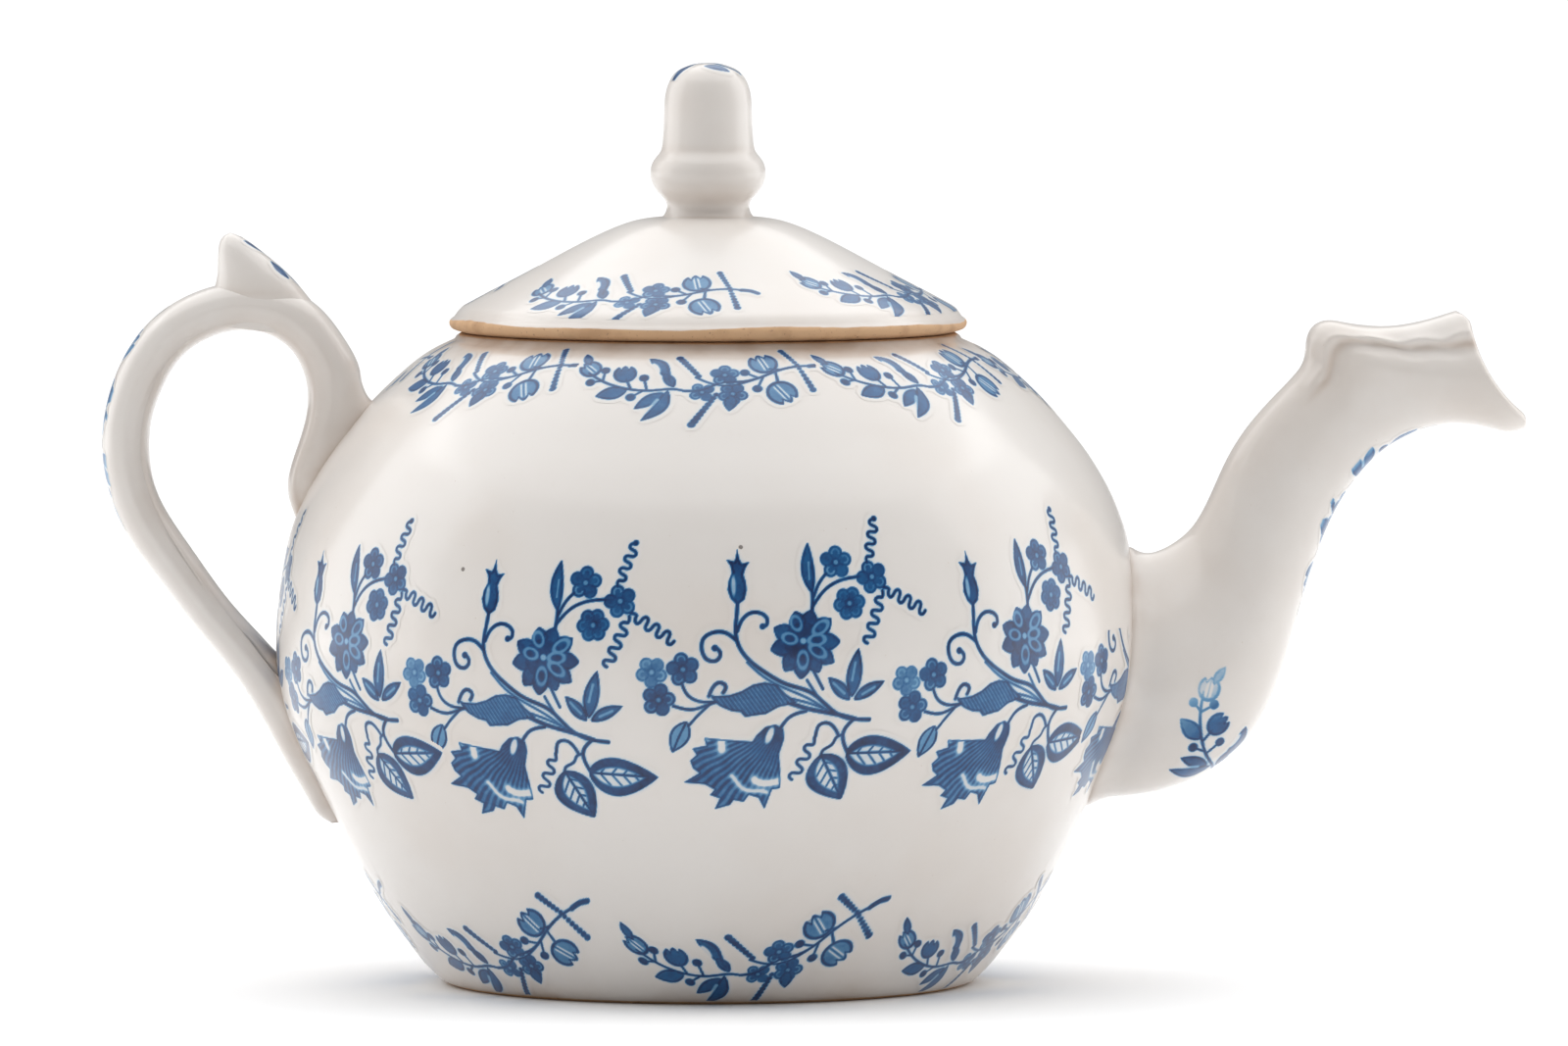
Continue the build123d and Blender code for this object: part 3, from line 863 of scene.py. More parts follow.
def turned_piece(name, line, node, stain_of=nowhere, bare_of=nowhere):
    """Turns a closed line round the axis; the two rules say where it is stained and where it is bare."""
    rings = ring_points(line, wandering=False)
    z = rings[..., 2]
    r = np.hypot(rings[..., 0], rings[..., 1])
    angle = np.arctan2(rings[..., 1], rings[..., 0])
    faces = ring_faces(len(line), AROUND, closed_rows=True)
    marks = {"stain": stain_of(r, z, angle), "bare": bare_of(r, z, angle)}
    return add_piece(name, rings.reshape(-1, 3), faces, "lid", node, **marks)


def lid_stain(r, z, angle):
    at_edge = 0.25 * np.exp(-np.clip(44.8 - r, 0, None) / 1.6) * (z > 114)
    round_knob = 0.28 * np.exp(-np.abs(r - 7.4) / 0.8) * (z > 131)
    return at_edge + round_knob


def lid_bare(r, z, angle):
    top = 115.15 + 0.22 * np.sin(4 * angle) + 0.15 * np.sin(9 * angle + 1)
    outer = (r > 41) & (z < 117)
    return np.where(outer, np.clip((top - z) / 0.7 + 0.5, 0, 1), np.clip((118 - z) / 2, 0, 1) * (r < 41))


lid_line = np.concatenate([
    even_line(LID_LINE, 0.35)[:-1], even_line(DOME_LINE, 0.5), [(3.0, 133.0)], even_line(UNDER_LINE, 1.5),
])
lid = turned_piece("lid_turned", lid_line, "lid", lid_stain, lid_bare)
print("lid has", len(lid.data.vertices), "points")

# %% Ring under the lid
FLANGE_LINE = [
    (34.0, 113.2), (37.4, 113.2), (37.4, 111.0), (37.1, 106.2), (36.8, 105.0), (36.0, 104.3), (35.2, 104.3),
    (34.3, 105.0), (34.0, 106.2), (34.0, 110.0),
]
flange = turned_piece("lid_flange_ring", FLANGE_LINE, "lid_flange", bare_of=lambda r, z, angle: 0 * z + 1.0)
print("ring has", len(flange.data.vertices), "points")

# %% [markdown]
# The knob is an acorn: a narrow neck, a cup that swells out and a smooth nut above it. Glaze pools in the
# two creases, which is where the stain lies.

# %% Knob
KNOB_LINE = [
    (8.6, 132.3), (7.75, 133.0), (7.25, 133.9), (7.15, 134.9), (7.5, 135.8), (8.4, 136.8), (9.3, 138.0),
    (9.85, 139.3), (9.98, 140.5), (9.8, 141.7), (9.25, 142.8), (8.6, 143.6), (8.15, 144.3), (7.95, 145.2),
    (7.82, 146.6), (7.7, 148.4), (7.65, 150.2), (7.6, 152.0), (7.45, 153.6), (7.1, 155.2), (6.45, 156.7),
    (5.3, 158.0), (3.8, 158.8), (2.0, 159.3), (0.4, 159.4),
]


def knob_stain(r, z, angle):
    crease = 0.12 * np.exp(-(((z - 144.6) / 0.8) ** 2)) + 0.10 * np.exp(-(((z - 136.0) / 1.4) ** 2))
    return 0.05 + 0.20 * np.exp(-np.clip(z - 132.8, 0, None) / 0.7) + crease


knob_line = np.concatenate([even_line(KNOB_LINE, 0.4), [(0.4, 130.0), (3.0, 130.0)]])
knob = turned_piece("lid_knob_turned", knob_line, "lid_knob", knob_stain)
print("knob has", len(knob.data.vertices), "points")

# %% [markdown]
# The flowers were engraved on a copper plate, printed on thin paper and rubbed on to the unglazed pot. Each
# transfer is drawn here as ink on a small sheet: strokes, petals and leaves, each a short sum over a fine
# grid of points. The ink bleeds a little into the glaze, so a weak blurred copy lies under the lines.

# %% A sheet of ink
SHALLOW = 0.86    # fills were cut shallower than outlines, so they hold less ink
NEAR = 1.6        # mm round a line where its distance matters


def soft(inside, edge=0.20):
    """1 inside a shape, 0 outside, and a narrow soft edge between."""
    return np.clip(0.5 + inside / edge, 0, 1)


class Sheet:
    """One transfer: a grid of points in mm, u to the right and v up, and how much ink lies on each."""

    def __init__(self, low, high, pitch=0.2):
        u = np.arange(low[0], high[0] + pitch, pitch)
        v = np.arange(low[1], high[1] + pitch, pitch)
        self.u, self.v = np.meshgrid(u, v, indexing="ij")
        self.pitch = pitch
        self.ink = np.zeros_like(self.u)

    def lay(self, cover, strength):
        self.ink = np.maximum(self.ink, cover * strength)

    def wipe(self, cover, left):
        self.ink = self.ink * (1 - cover) + np.minimum(self.ink, left) * cover

    def slit(self, centre, radius, left, squeeze=1.0, lean=0.0, stretch=1.0):
        """Wipes a light oval, stretched and leaning up the sheet."""
        u, v = self.u - centre[0], self.v - centre[1]
        self.wipe(soft(radius - np.hypot(u * squeeze + v * lean, v / stretch)), left)

    def scrape(self, foot, tip, half_width, left):
        """Wipes a light line from foot to tip."""
        self.wipe(soft(half_width - self.distance(np.array([foot, tip]))), left)

    def distance(self, line):
        """Distance from every point of the sheet to a line of points, worked out only near the line."""
        nearest = np.full(self.u.shape, 9.0)
        for a, b in zip(line[:-1], line[1:]):
            low, high = np.minimum(a, b) - NEAR, np.maximum(a, b) + NEAR
            i = slice(*np.searchsorted(self.u[:, 0], (low[0], high[0])))
            j = slice(*np.searchsorted(self.v[0], (low[1], high[1])))
            u, v = self.u[i, j] - a[0], self.v[i, j] - a[1]
            run = b - a
            share = np.clip((u * run[0] + v * run[1]) / (run @ run + 1e-12), 0, 1)
            nearest[i, j] = np.minimum(nearest[i, j], np.hypot(u - share * run[0], v - share * run[1]))
        return nearest

    def stroke(self, points, width=0.55, strength=1.0):
        line = even_line(points, 0.35) if len(points) > 2 else np.asarray(points, float)
        self.lay(soft(width / 2 - self.distance(line)), strength)

    def tendril(self, start, end, swing=1.0, waves=3.5, width=0.55, strength=1.0):
        start, end = np.asarray(start, float), np.asarray(end, float)
        run = end - start
        side = np.array([-run[1], run[0]]) / np.linalg.norm(run)
        t = np.linspace(0, 1, int(18 * waves))[:, None]
        lean = 0.16 * run / np.linalg.norm(run) * swing * np.sin(2 * TAU * waves * t)
        line = start + run * t + side * swing * np.sin(TAU * waves * t) * np.clip(t * 5, 0.2, 1) - lean
        self.lay(soft(width / 2 - self.distance(line)), strength)

    def dot(self, centre, radius, strength=1.0):
        self.lay(soft(radius - np.hypot(self.u - centre[0], self.v - centre[1])), strength)

    def spike(self, start, end, width=1.0, strength=0.95):
        """A row of beads, like a small ear of seed."""
        start, end = np.asarray(start, float), np.asarray(end, float)
        for t in np.linspace(0, 1, max(3, int(np.linalg.norm(end - start) / 0.72))):
            self.dot(start + (end - start) * t, width * (0.58 - 0.16 * t), strength)

    def hatch(self, turn, gap, weight=0.5):
        across = self.u * math.cos(turn) + self.v * math.sin(turn)
        return np.clip(0.5 + np.sin(TAU * across / gap) + (weight - 0.5) * 2, 0, 1)

    def leaf(self, foot, tip, left, right, fill=0.80, veins=0, outline=0.5, bow=0.0, fullest=0.45):
        """A leaf from foot to tip, bulging left and right of its rib."""
        foot, tip = np.asarray(foot, float), np.asarray(tip, float)
        run = tip - foot
        length = np.linalg.norm(run)
        along = run / length
        side = np.array([-along[1], along[0]])
        s = ((self.u - foot[0]) * along[0] + (self.v - foot[1]) * along[1]) / length
        within = np.clip(s, 0, 1)
        t = (self.u - foot[0]) * side[0] + (self.v - foot[1]) * side[1] - bow * np.sin(math.pi * within)
        bulge = np.sin(math.pi * within ** (math.log(0.5) / math.log(fullest))) ** 0.85
        inside = np.where(t > 0, left, right) * bulge - np.abs(t)
        inside = np.where((s > 0) & (s < 1), inside, -1.0)
        body = soft(inside)
        self.lay(body, fill * SHALLOW)
        self.lay(body * soft(outline - inside), 1.0)
        if veins:
            heart = soft(inside - 0.42 * max(left, right), 0.5)
            self.wipe(heart, 0.10)
            phase = math.pi * veins * (s - np.abs(t) / length * 0.8)
            self.lay(heart * soft(0.19 - np.abs(np.sin(phase)) * length / (math.pi * veins)), 0.85)
            self.lay(soft(0.22 - np.abs(t)) * soft(inside - 0.3), 1.0)

    def shape(self, corners, fill=0.85, edge=0.55):
        """A filled shape from its corners; returns how far inside it each point is."""
        line = np.asarray(corners + corners[:1], float)
        inside = np.zeros(self.u.shape, bool)
        for (ua, va), (ub, vb) in zip(line[:-1], line[1:]):
            if va != vb:
                crosses = (va > self.v) != (vb > self.v)
                inside ^= crosses & (self.u < (ub - ua) * (self.v - va) / (vb - va) + ua)
        depth = self.distance(line) * np.where(inside, 1, -1)
        self.lay(soft(depth), fill * SHALLOW)
        self.lay(soft(depth) * soft(edge - depth), 1.0)
        return depth

    def bloom(self, centre, radius, petals=5, turn=0.0, fill=0.95, light=0.42):
        """A small round flower: one disc for each petal, with a light crescent in it and a light heart."""
        for k in range(petals):
            angle = turn + TAU * k / petals
            reach = radius * 0.60
            middle = (centre[0] + reach * math.cos(angle), centre[1] + reach * math.sin(angle))
            away = np.hypot(self.u - middle[0], self.v - middle[1])
            self.lay(soft(radius * 0.44 - away), fill * SHALLOW)
            self.lay(soft(radius * 0.44 - away) * soft(away - radius * 0.33), fill)
            ahead = (self.u - middle[0]) * math.cos(angle) + (self.v - middle[1]) * math.sin(angle)
            crescent = soft(0.17 - np.abs(away - radius * 0.23), 0.15) * (ahead > -radius * 0.10)
            self.wipe(crescent * (0.5 + 0.5 * math.cos(3 * angle + turn)), light)
        self.dot(centre, radius * 0.34, fill)
        away = np.hypot(self.u - centre[0], self.v - centre[1])
        self.wipe(soft(radius * 0.15 - away), light)

    def bell(self, centre, radius, turn, hollow=True, strength=1.0):
        """A cup of three pointed petals, open at the end that turn points to."""
        along = (self.u - centre[0]) * math.cos(turn) + (self.v - centre[1]) * math.sin(turn)
        across = -(self.u - centre[0]) * math.sin(turn) + (self.v - centre[1]) * math.cos(turn)
        rim = radius * (0.55 + 0.45 * np.abs(np.cos(across / radius * 1.5 * math.pi)))
        inside = np.minimum(radius - np.hypot(along * 0.95, across), rim - along)
        self.lay(soft(inside), (0.60 if hollow else 0.9) * SHALLOW * strength)
        self.lay(soft(inside) * soft(0.55 - inside), strength)
        if hollow:
            self.wipe(soft(inside - 0.75) * soft(0.62 - np.abs(across)), 0.10)
            self.lay(soft(inside) * soft(0.16 - np.abs(across)), 0.8 * strength)

    def bleed(self, reach=0.55, amount=0.16):
        """Adds the weak blur of ink that ran into the glaze."""
        steps = int(3 * reach / self.pitch)
        away = np.arange(-steps, steps + 1) * self.pitch
        weights = np.exp(-((away / reach) ** 2) / 2)
        weights /= weights.sum()
        blurred = self.ink
        for axis in (0, 1):
            blurred = np.apply_along_axis(lambda row: np.convolve(row, weights, mode="same"), axis, blurred)
        self.ink = np.maximum(self.ink, np.clip(blurred * 1.6, 0, 1) * amount)

    def report(self, name):
        covered = round(float((self.ink > 0.02).mean()) * 100)
        print(name, self.ink.shape, "points, ink on", covered, "% of it")


print("a sheet 10 mm square holds", Sheet((-5.0, -5.0), (5.0, 5.0)).ink.size, "points")

# %% [markdown]
# The main garland repeats one spray of garden flowers: a star flower, a bud like a tulip, curls, small
# round flowers with wavy tendrils, a hatched leaf, a ragged carnation and two veined leaves on a cut
# branch.

# %% The star flower
spray = Sheet((-29.5, -31.5), (24.0, 22.5), 0.2)
# each petal of the star: its direction in degrees and its length
STAR = [
    (104, 5.4), (73, 5.7), (38, 6.3), (0, 6.5), (-34, 6.4), (-62, 5.9), (-94, 6.3), (-124, 5.9),
    (-167, 5.8), (154, 5.6),
]
# each light loop in a petal: its direction, where it starts and where it ends
STAR_LOOPS = [
    (110, 2.2, 4.6), (38, 2.4, 5.4), (-32, 1.4, 4.4), (-92, 1.6, 4.4), (165, 1.2, 3.6), (8, 1.0, 3.8),
]
for degrees, reach in STAR:
    turn = math.radians(degrees)
    spray.leaf((0, 0), (reach * math.cos(turn), reach * math.sin(turn)), 1.55, 1.55, fill=1.0, fullest=0.62)
spray.dot((0, 0), 3.4, 1.0)
for degrees, low, high in STAR_LOOPS:
    turn = math.radians(degrees)
    along = spray.u * math.cos(turn) + spray.v * math.sin(turn)
    across = np.abs(-spray.u * math.sin(turn) + spray.v * math.cos(turn))
    loop = np.abs(np.hypot((along - (low + high) / 2) / ((high - low) / 2), across / 0.85) - 1) * 0.6
    spray.wipe(soft(0.17 - loop, 0.15), 0.40)
spray.slit((0, 0.2), 0.55, 0.25)
spray.report("spray so far")

# %% Bud, branches and curls
spray.shape([
    (-11.1, 6.3), (-12.2, 7.4), (-12.7, 8.9), (-12.5, 10.4), (-11.9, 11.8), (-12.1, 13.0), (-12.8, 14.0),
    (-11.5, 13.7), (-11.2, 14.2), (-10.9, 15.7), (-10.6, 14.1), (-10.2, 13.3), (-8.9, 13.6), (-9.6, 12.6),
    (-10.0, 11.4), (-9.6, 10.2), (-9.5, 8.8), (-9.9, 7.3),
], fill=0.95)
spray.slit((-11.7, 9.6), 0.42, 0.20, stretch=4.2)
spray.stroke([
    (-11.1, 6.4), (-11.3, 4.3), (-11.5, 1.9), (-11.0, -0.5), (-9.1, -3.1), (-6.3, -5.2), (-2.8, -7.1),
    (1.3, -8.5), (4.8, -11.4), (6.9, -12.7), (11.9, -13.4),
], 0.62)
spray.stroke([(-9.6, -3.3), (-6.6, -5.9), (-3.0, -7.8), (1.0, -9.6), (5.0, -12.1)], 0.34, 0.8)
spray.stroke([(-2.5, -10.2), (1.3, -11.4), (4.8, -12.1), (9.3, -13.2)], 0.7)
spray.stroke([(-2.6, -9.4), (1.2, -10.4), (4.9, -11.8)], 0.36, 0.8)
spray.stroke([(0.6, -6.4), (3.4, -10.2), (5.8, -12.2)], 0.40, 0.85)
spray.stroke([(1.8, -5.0), (3.4, -8.0)], 0.45)
spray.stroke([
    (-11.5, 0.5), (-13.3, 1.7), (-15.3, 1.7), (-16.9, 0.7), (-17.2, -1.2), (-16.2, -2.9), (-14.6, -2.9),
    (-14.1, -1.7), (-14.8, -0.9),
], 0.60)
spray.dot((-15.0, -0.9), 0.55)
spray.stroke([
    (-11.2, 1.9), (-10.5, 3.6), (-9.1, 4.9), (-7.4, 5.0), (-6.1, 3.9), (-6.3, 2.9), (-7.0, 2.6),
], 0.58)
spray.dot((-6.9, 2.7), 0.5)
spray.report("spray so far")

# %% Small round flowers and their tendrils
spray.leaf((1.8, 8.2), (1.4, 16.9), 1.35, 1.0, fill=0.95, bow=0.3)
spray.wipe(soft(0.16 - np.abs(spray.u - 1.35)) * soft(1.6 - np.abs(spray.v - 12.0)), 0.35)
spray.stroke([(1.6, 5.0), (1.8, 6.6), (1.8, 8.6)], 0.60)
spray.stroke([(2.0, 7.6), (3.0, 9.8), (4.6, 11.8)], 0.50)
spray.stroke([(1.8, 6.0), (4.1, 8.8), (7.2, 10.4), (10.4, 10.9)], 0.52)
BLOOMS = [
    ((6.2, 13.4), 0.3), ((12.6, 10.8), 0.7), ((8.3, 6.4), 1.2), ((-20.4, -4.5), 0.5), ((-24.5, -9.7), 0.1),
]
for centre, turn in BLOOMS:
    spray.bloom(centre, 2.75, 6 if turn > 1 else 5, turn)
spray.bloom((-25.7, -5.0), 2.6, 5, 0.9, fill=0.62, light=0.25)
spray.tendril((11.9, 13.2), (14.0, 20.7), 0.80, 3.5, 0.50)
spray.dot((14.0, 20.9), 0.5)
spray.tendril((14.6, 8.9), (22.4, 4.8), 0.90, 4.0, 0.52)
spray.tendril((14.4, 8.4), (11.3, -0.4), 0.85, 4.0, 0.52)
spray.report("spray so far")

# %% Small leaves, the hatched leaf and the twigs
spray.leaf((8.2, -9.9), (4.3, -6.0), 1.1, 1.2, fill=0.85, outline=0.45)
spray.leaf((8.5, -9.4), (9.7, -1.2), 1.5, 1.2, fill=0.85, outline=0.45)
spray.leaf((8.9, -9.9), (14.4, -6.8), 1.2, 0.9, fill=0.85, outline=0.45)
for foot, tip in [((7.2, -8.8), (5.2, -7.0)), ((8.5, -6.6), (9.1, -3.6)), ((10.4, -9.0), (12.6, -7.8))]:
    spray.scrape(foot, tip, 0.22, 0.30)

leaf_depth = spray.shape([
    (-16.0, -8.7), (-15.0, -9.0), (-12.6, -8.9), (-10.5, -8.2), (-8.6, -7.1), (-6.6, -6.7), (-4.6, -7.1),
    (-3.2, -8.6), (-1.0, -10.2), (-2.6, -10.6), (-4.2, -10.9), (-6.3, -12.1), (-8.0, -12.3), (-9.8, -12.6),
    (-10.6, -11.7), (-12.0, -11.6), (-13.9, -10.8), (-14.9, -10.1),
], fill=0.92, edge=0.35)
spray.wipe(soft(leaf_depth - 0.3) * spray.hatch(0.65, 0.62, 0.30), 0.42)
spray.stroke([(-16.0, -9.0), (-15.4, -7.6), (-14.2, -6.7), (-13.2, -7.3), (-13.6, -8.4)], 0.60)

spray.stroke([(-20.6, -6.8), (-19.6, -8.8), (-17.6, -9.9), (-15.0, -10.0)], 0.46)
spray.stroke([(-22.0, -10.7), (-18.8, -11.3), (-16.4, -10.6), (-14.8, -10.0)], 0.46)
spray.stroke([(-15.8, -10.4), (-17.4, -11.9), (-19.4, -14.2)], 0.42)
spray.leaf((-19.7, -13.4), (-22.1, -18.9), 1.7, 1.7, fill=0.42, outline=0.42)
spray.stroke([(-19.8, -13.6), (-20.9, -16.0), (-21.9, -18.7)], 0.45)
spray.report("spray so far")

# %% [markdown]
# The carnation is one ragged shape. Its petals fan out from the cup, so its fine lines follow the turn
# about the cup, and two rows of light frills follow the distance from it.

# %% The carnation
bloom_depth = spray.shape([
    (-3.2, -14.8), (-3.0, -16.5), (-3.7, -19.3), (-3.2, -23.0), (-3.0, -25.8), (-4.4, -26.0), (-5.4, -29.8),
    (-6.6, -27.6), (-8.4, -27.0), (-9.2, -28.4), (-11.0, -28.0), (-11.6, -29.0), (-14.2, -29.8),
    (-13.4, -27.7), (-15.2, -27.0), (-14.4, -26.0), (-16.2, -24.9), (-19.9, -24.6), (-17.2, -22.8),
    (-18.4, -21.8), (-18.9, -20.4), (-17.8, -19.4), (-18.6, -18.2), (-16.2, -17.7), (-16.6, -16.3),
    (-12.6, -16.7), (-8.4, -17.0), (-7.7, -15.8), (-6.3, -14.4), (-4.6, -14.0),
], fill=1.12, edge=0.4)
CUP = (-2.5, -13.0)
fan = np.arctan2(spray.v - CUP[1], spray.u - CUP[0])
reach = np.hypot(spray.v - CUP[1], spray.u - CUP[0])
rays = np.clip(0.5 + 0.9 * np.sin(fan * 78 + 0.5 * np.sin(reach * 1.3)), 0, 1)
spray.wipe(soft(bloom_depth - 0.25) * rays * np.clip((reach - 4) / 5, 0, 1) * 0.8, 0.46)
# each row of frills: distance from the cup, its wave, its width, where it breaks off, how strong, ink left
FRILLS = [
    (11.9, (0.5, 9), 0.90, (4.2, 2.0, 1.6), 1.4, 0.06),
    (14.2, (-0.4, 13), 0.62, (5.6, 0.4, 0.7), 1.2, 0.10),
]
for ring, (swing, waves), width, (breaks, offset, kept), strength, left in FRILLS:
    row = np.exp(-(((reach - ring - swing * np.sin(fan * waves)) / width) ** 2))
    frill = row * np.clip(np.sin(fan * breaks + offset) * 3 + kept, 0, 1)
    spray.wipe(soft(bloom_depth - 0.15) * np.clip(frill * strength, 0, 1), left)
spray.slit((-5.5, -15.9), 0.60, 0.05, squeeze=0.9, lean=-0.25, stretch=2.6)
spray.stroke([(-3.7, -14.6), (-2.2, -12.7), (0.6, -11.7)], 0.55)
spray.report("spray so far")

# %% The veined leaves and their branch
spray.stroke([(6.5, -16.0), (5.6, -14.6), (4.3, -13.8), (2.9, -14.3), (2.5, -15.8), (2.3, -16.6)], 0.52)
spray.tendril((2.3, -16.4), (-1.0, -24.2), 0.85, 3.0, 0.48)
spray.stroke([(8.9, -13.4), (7.4, -15.4), (7.6, -17.5), (8.5, -19.3)], 0.60)
spray.stroke([(7.2, -16.0), (6.2, -16.4), (5.6, -17.6), (3.9, -18.9), (3.7, -19.8)], 0.46)
spray.leaf((8.1, -19.4), (20.3, -19.3), 3.1, 4.2, fill=1.15, outline=0.7, veins=6, fullest=0.38)
spray.leaf((3.7, -19.5), (8.4, -28.2), 3.2, 4.3, fill=1.05, outline=0.75, veins=6, fullest=0.40)
spray.bleed()
spray.report("whole spray")

# %% [markdown]
# Shoulder, lid and foot carry a second, smaller transfer: one sprig with cups, berries and ears of seed.

# %% The small sprig
sprig = Sheet((-24.0, -10.5), (24.5, 12.0), 0.2)
sprig.stroke([
    (-20.1, 3.3), (-17.3, 1.3), (-14.4, 0.0), (-11.6, -0.7), (-7.9, -0.8), (-4.4, -0.5), (-2.5, -1.0),
], 0.48)
sprig.stroke([
    (-2.9, -0.9), (0.3, -0.6), (3.5, 1.1), (6.6, 1.3), (9.7, 2.1), (12.9, 3.8), (17.6, 5.2), (20.0, 5.2),
], 0.52)
sprig.stroke([(19.4, 5.2), (21.0, 5.3), (22.4, 4.8)], 0.95)
sprig.stroke([(-0.9, 2.4), (1.3, 1.1), (4.4, 0.4), (7.2, 1.0), (9.6, 2.0)], 0.40)
sprig.bell((-20.0, 4.4), 2.1, 2.4)
sprig.leaf((-20.4, 5.4), (-21.8, 8.8), 0.9, 0.9, fill=0.9)
BERRIES = [
    ((-17.1, 4.0), (-17.2, 1.3)), ((-19.4, 0.9), (-17.2, 1.4)), ((-9.9, 2.2), (-9.2, -0.7)),
    ((-11.8, -2.5), (-9.8, -0.9)), ((7.6, 3.6), (10.0, 2.2)), ((9.6, -0.4), (10.8, 2.6)),
]
for ball, foot in BERRIES:
    sprig.dot(ball, 0.85)
    sprig.stroke([ball, foot], 0.40)
sprig.bell((-13.4, 3.2), 2.1, 1.7, hollow=False)
sprig.stroke([(-13.0, 1.8), (-12.0, -0.5)], 0.42)
sprig.leaf((-12.6, -0.8), (-18.0, -2.4), 1.5, 1.5, fill=0.85)
sprig.leaf((-4.7, 0.2), (-9.4, 7.6), 0.5, 2.0, fill=0.9, outline=0.7, fullest=0.66)
sprig.slit((-8.0, 4.8), 0.62, 0.08, squeeze=0.9, lean=0.35, stretch=2.4)
sprig.leaf((-4.6, 0.0), (-6.6, 3.6), 0.9, 1.1, fill=1.0)
sprig.leaf((-5.6, -0.8), (-9.7, -7.8), 1.8, 0.6, fill=0.9, bow=0.4)
sprig.leaf((-6.2, -1.4), (-11.0, -5.2), 1.1, 1.3, fill=0.9)
sprig.scrape((-7.2, -3.0), (-8.9, -5.8), 0.32, 0.25)
sprig.spike((-3.9, 7.8), (-0.4, 2.7), 1.15)
sprig.bloom((4.1, 3.0), 2.5, 5, 0.3, fill=0.95)
sprig.bloom((0.2, -1.2), 2.2, 4, 0.6, fill=0.9)
sprig.bloom((5.4, -1.6), 2.5, 5, 1.0, fill=0.95)
sprig.leaf((5.2, -1.8), (4.7, -5.6), 1.2, 1.2, fill=0.95)
sprig.spike((-1.4, -8.6), (2.6, -1.8), 1.1)
sprig.bell((11.0, 6.2), 2.7, 1.9)
sprig.stroke([(12.0, 4.6), (14.2, 4.3)], 0.42)
sprig.bell((13.8, -1.4), 2.7, -1.0)
sprig.stroke([(13.3, 1.0), (13.0, 3.8)], 0.45)
sprig.spike((14.8, 10.2), (17.2, 5.6), 1.0)
sprig.spike((19.3, -0.8), (17.5, 4.6), 1.0)
sprig.bleed()
sprig.report("sprig")

# %% [markdown]
# A transfer lies on the pot as its own thin skin, three hundredths of a millimetre above the glaze and
# painted with the same finish, so only the ink shows. Where neighbours overlap, one lies about a hundredth
# of a millimetre higher, or they would flicker. Paper doesn't stretch, so on the shoulder a straight strip
# droops at its ends and near the foot it rises: that is what curve does. Tilt is how crookedly it was laid.

# %% Laying transfers on turned walls
LIFT = 0.03            # mm above the glaze
SPRIG_STEP = 0.004     # mm that each next sprig lies higher
GARLAND_STEP = 0.012   # mm that every other spray lies higher


def corners_of(grid):
    """The values at the four corners of every cell of a grid."""
    return np.stack([grid[:-1, :-1], grid[1:, :-1], grid[1:, 1:], grid[:-1, 1:]], axis=-1)


def lay_transfer(name, sheet, points, body, stain, keep, strength=1.0):
    """Makes the inked part of a sheet into a piece, given where its points lie and which may stay."""
    ink = np.where(keep, sheet.ink * strength, 0.0)
    cells = corners_of(ink > 0.015).any(axis=-1) & corners_of(keep).all(axis=-1)
    quads = corners_of(np.arange(ink.size).reshape(ink.shape))[cells]
    used, compact = np.unique(quads, return_inverse=True)
    faces = compact.reshape(-1, 4).tolist()
    flat = points.reshape(-1, 3)[used]
    return add_piece(name, flat, faces, body, closed=False, ink=ink.ravel()[used], stain=stain(flat))


def wall_place(sheet, wall, degrees, z, tilt=0.0, curve=0.0, lift=LIFT):
    """Angles and points of a sheet laid on a turned wall."""
    c, s = math.cos(math.radians(tilt)), math.sin(math.radians(tilt))
    u = sheet.u * c - sheet.v * s
    v = sheet.u * s + sheet.v * c + curve * sheet.u**2
    walk = wall.walk_at(z) + v
    r_here, r_middle = wall.at(walk)[0], wall.at(wall.walk_at(z))[0]
    angle = math.radians(degrees) + u / (r_here * 0.5 + r_middle * 0.5)
    return angle, wall.point(angle, walk, lift)


_, test_points = wall_place(sprig, body_wall, -90.0, 60.0)
print("a sprig laid on the belly spans", np.ptp(test_points[..., 0]).round(1), "mm from side to side")

# %% [markdown]
# The garland goes round the belly in eleven sprays. A print stops at the joints: it isn't laid inside the
# root of the spout or under the roots of the handle, and the two sprays that meet at the spout are cut to
# fit it.

# %% The garland
STRAINER_HALF = math.radians(13.8)


def printed_body_stain_and_shade(points):
    # the body's stain with the painted shadow under the lid, so a print matches the glaze round it
    stain = body_stain_and_lid_shadow(points)
    near_joint = np.abs(points[:, 1]) < 32
    stain[near_joint] += joint_stain(points[near_joint])
    return stain


def clear_of_joints(angle, points):
    """Where a transfer may lie: not inside the spout's root and not through the handle."""
    turned = np.abs((angle + math.pi) % TAU - math.pi)
    keep = ~((turned < STRAINER_HALF) & (points[..., 2] > 30) & (points[..., 2] < 78))
    under = (math.pi - turned < 0.13) & (points[..., 2] > 27)
    keep &= ~(under & ((points[..., 2] < 52) | (points[..., 2] > 76)))
    return keep


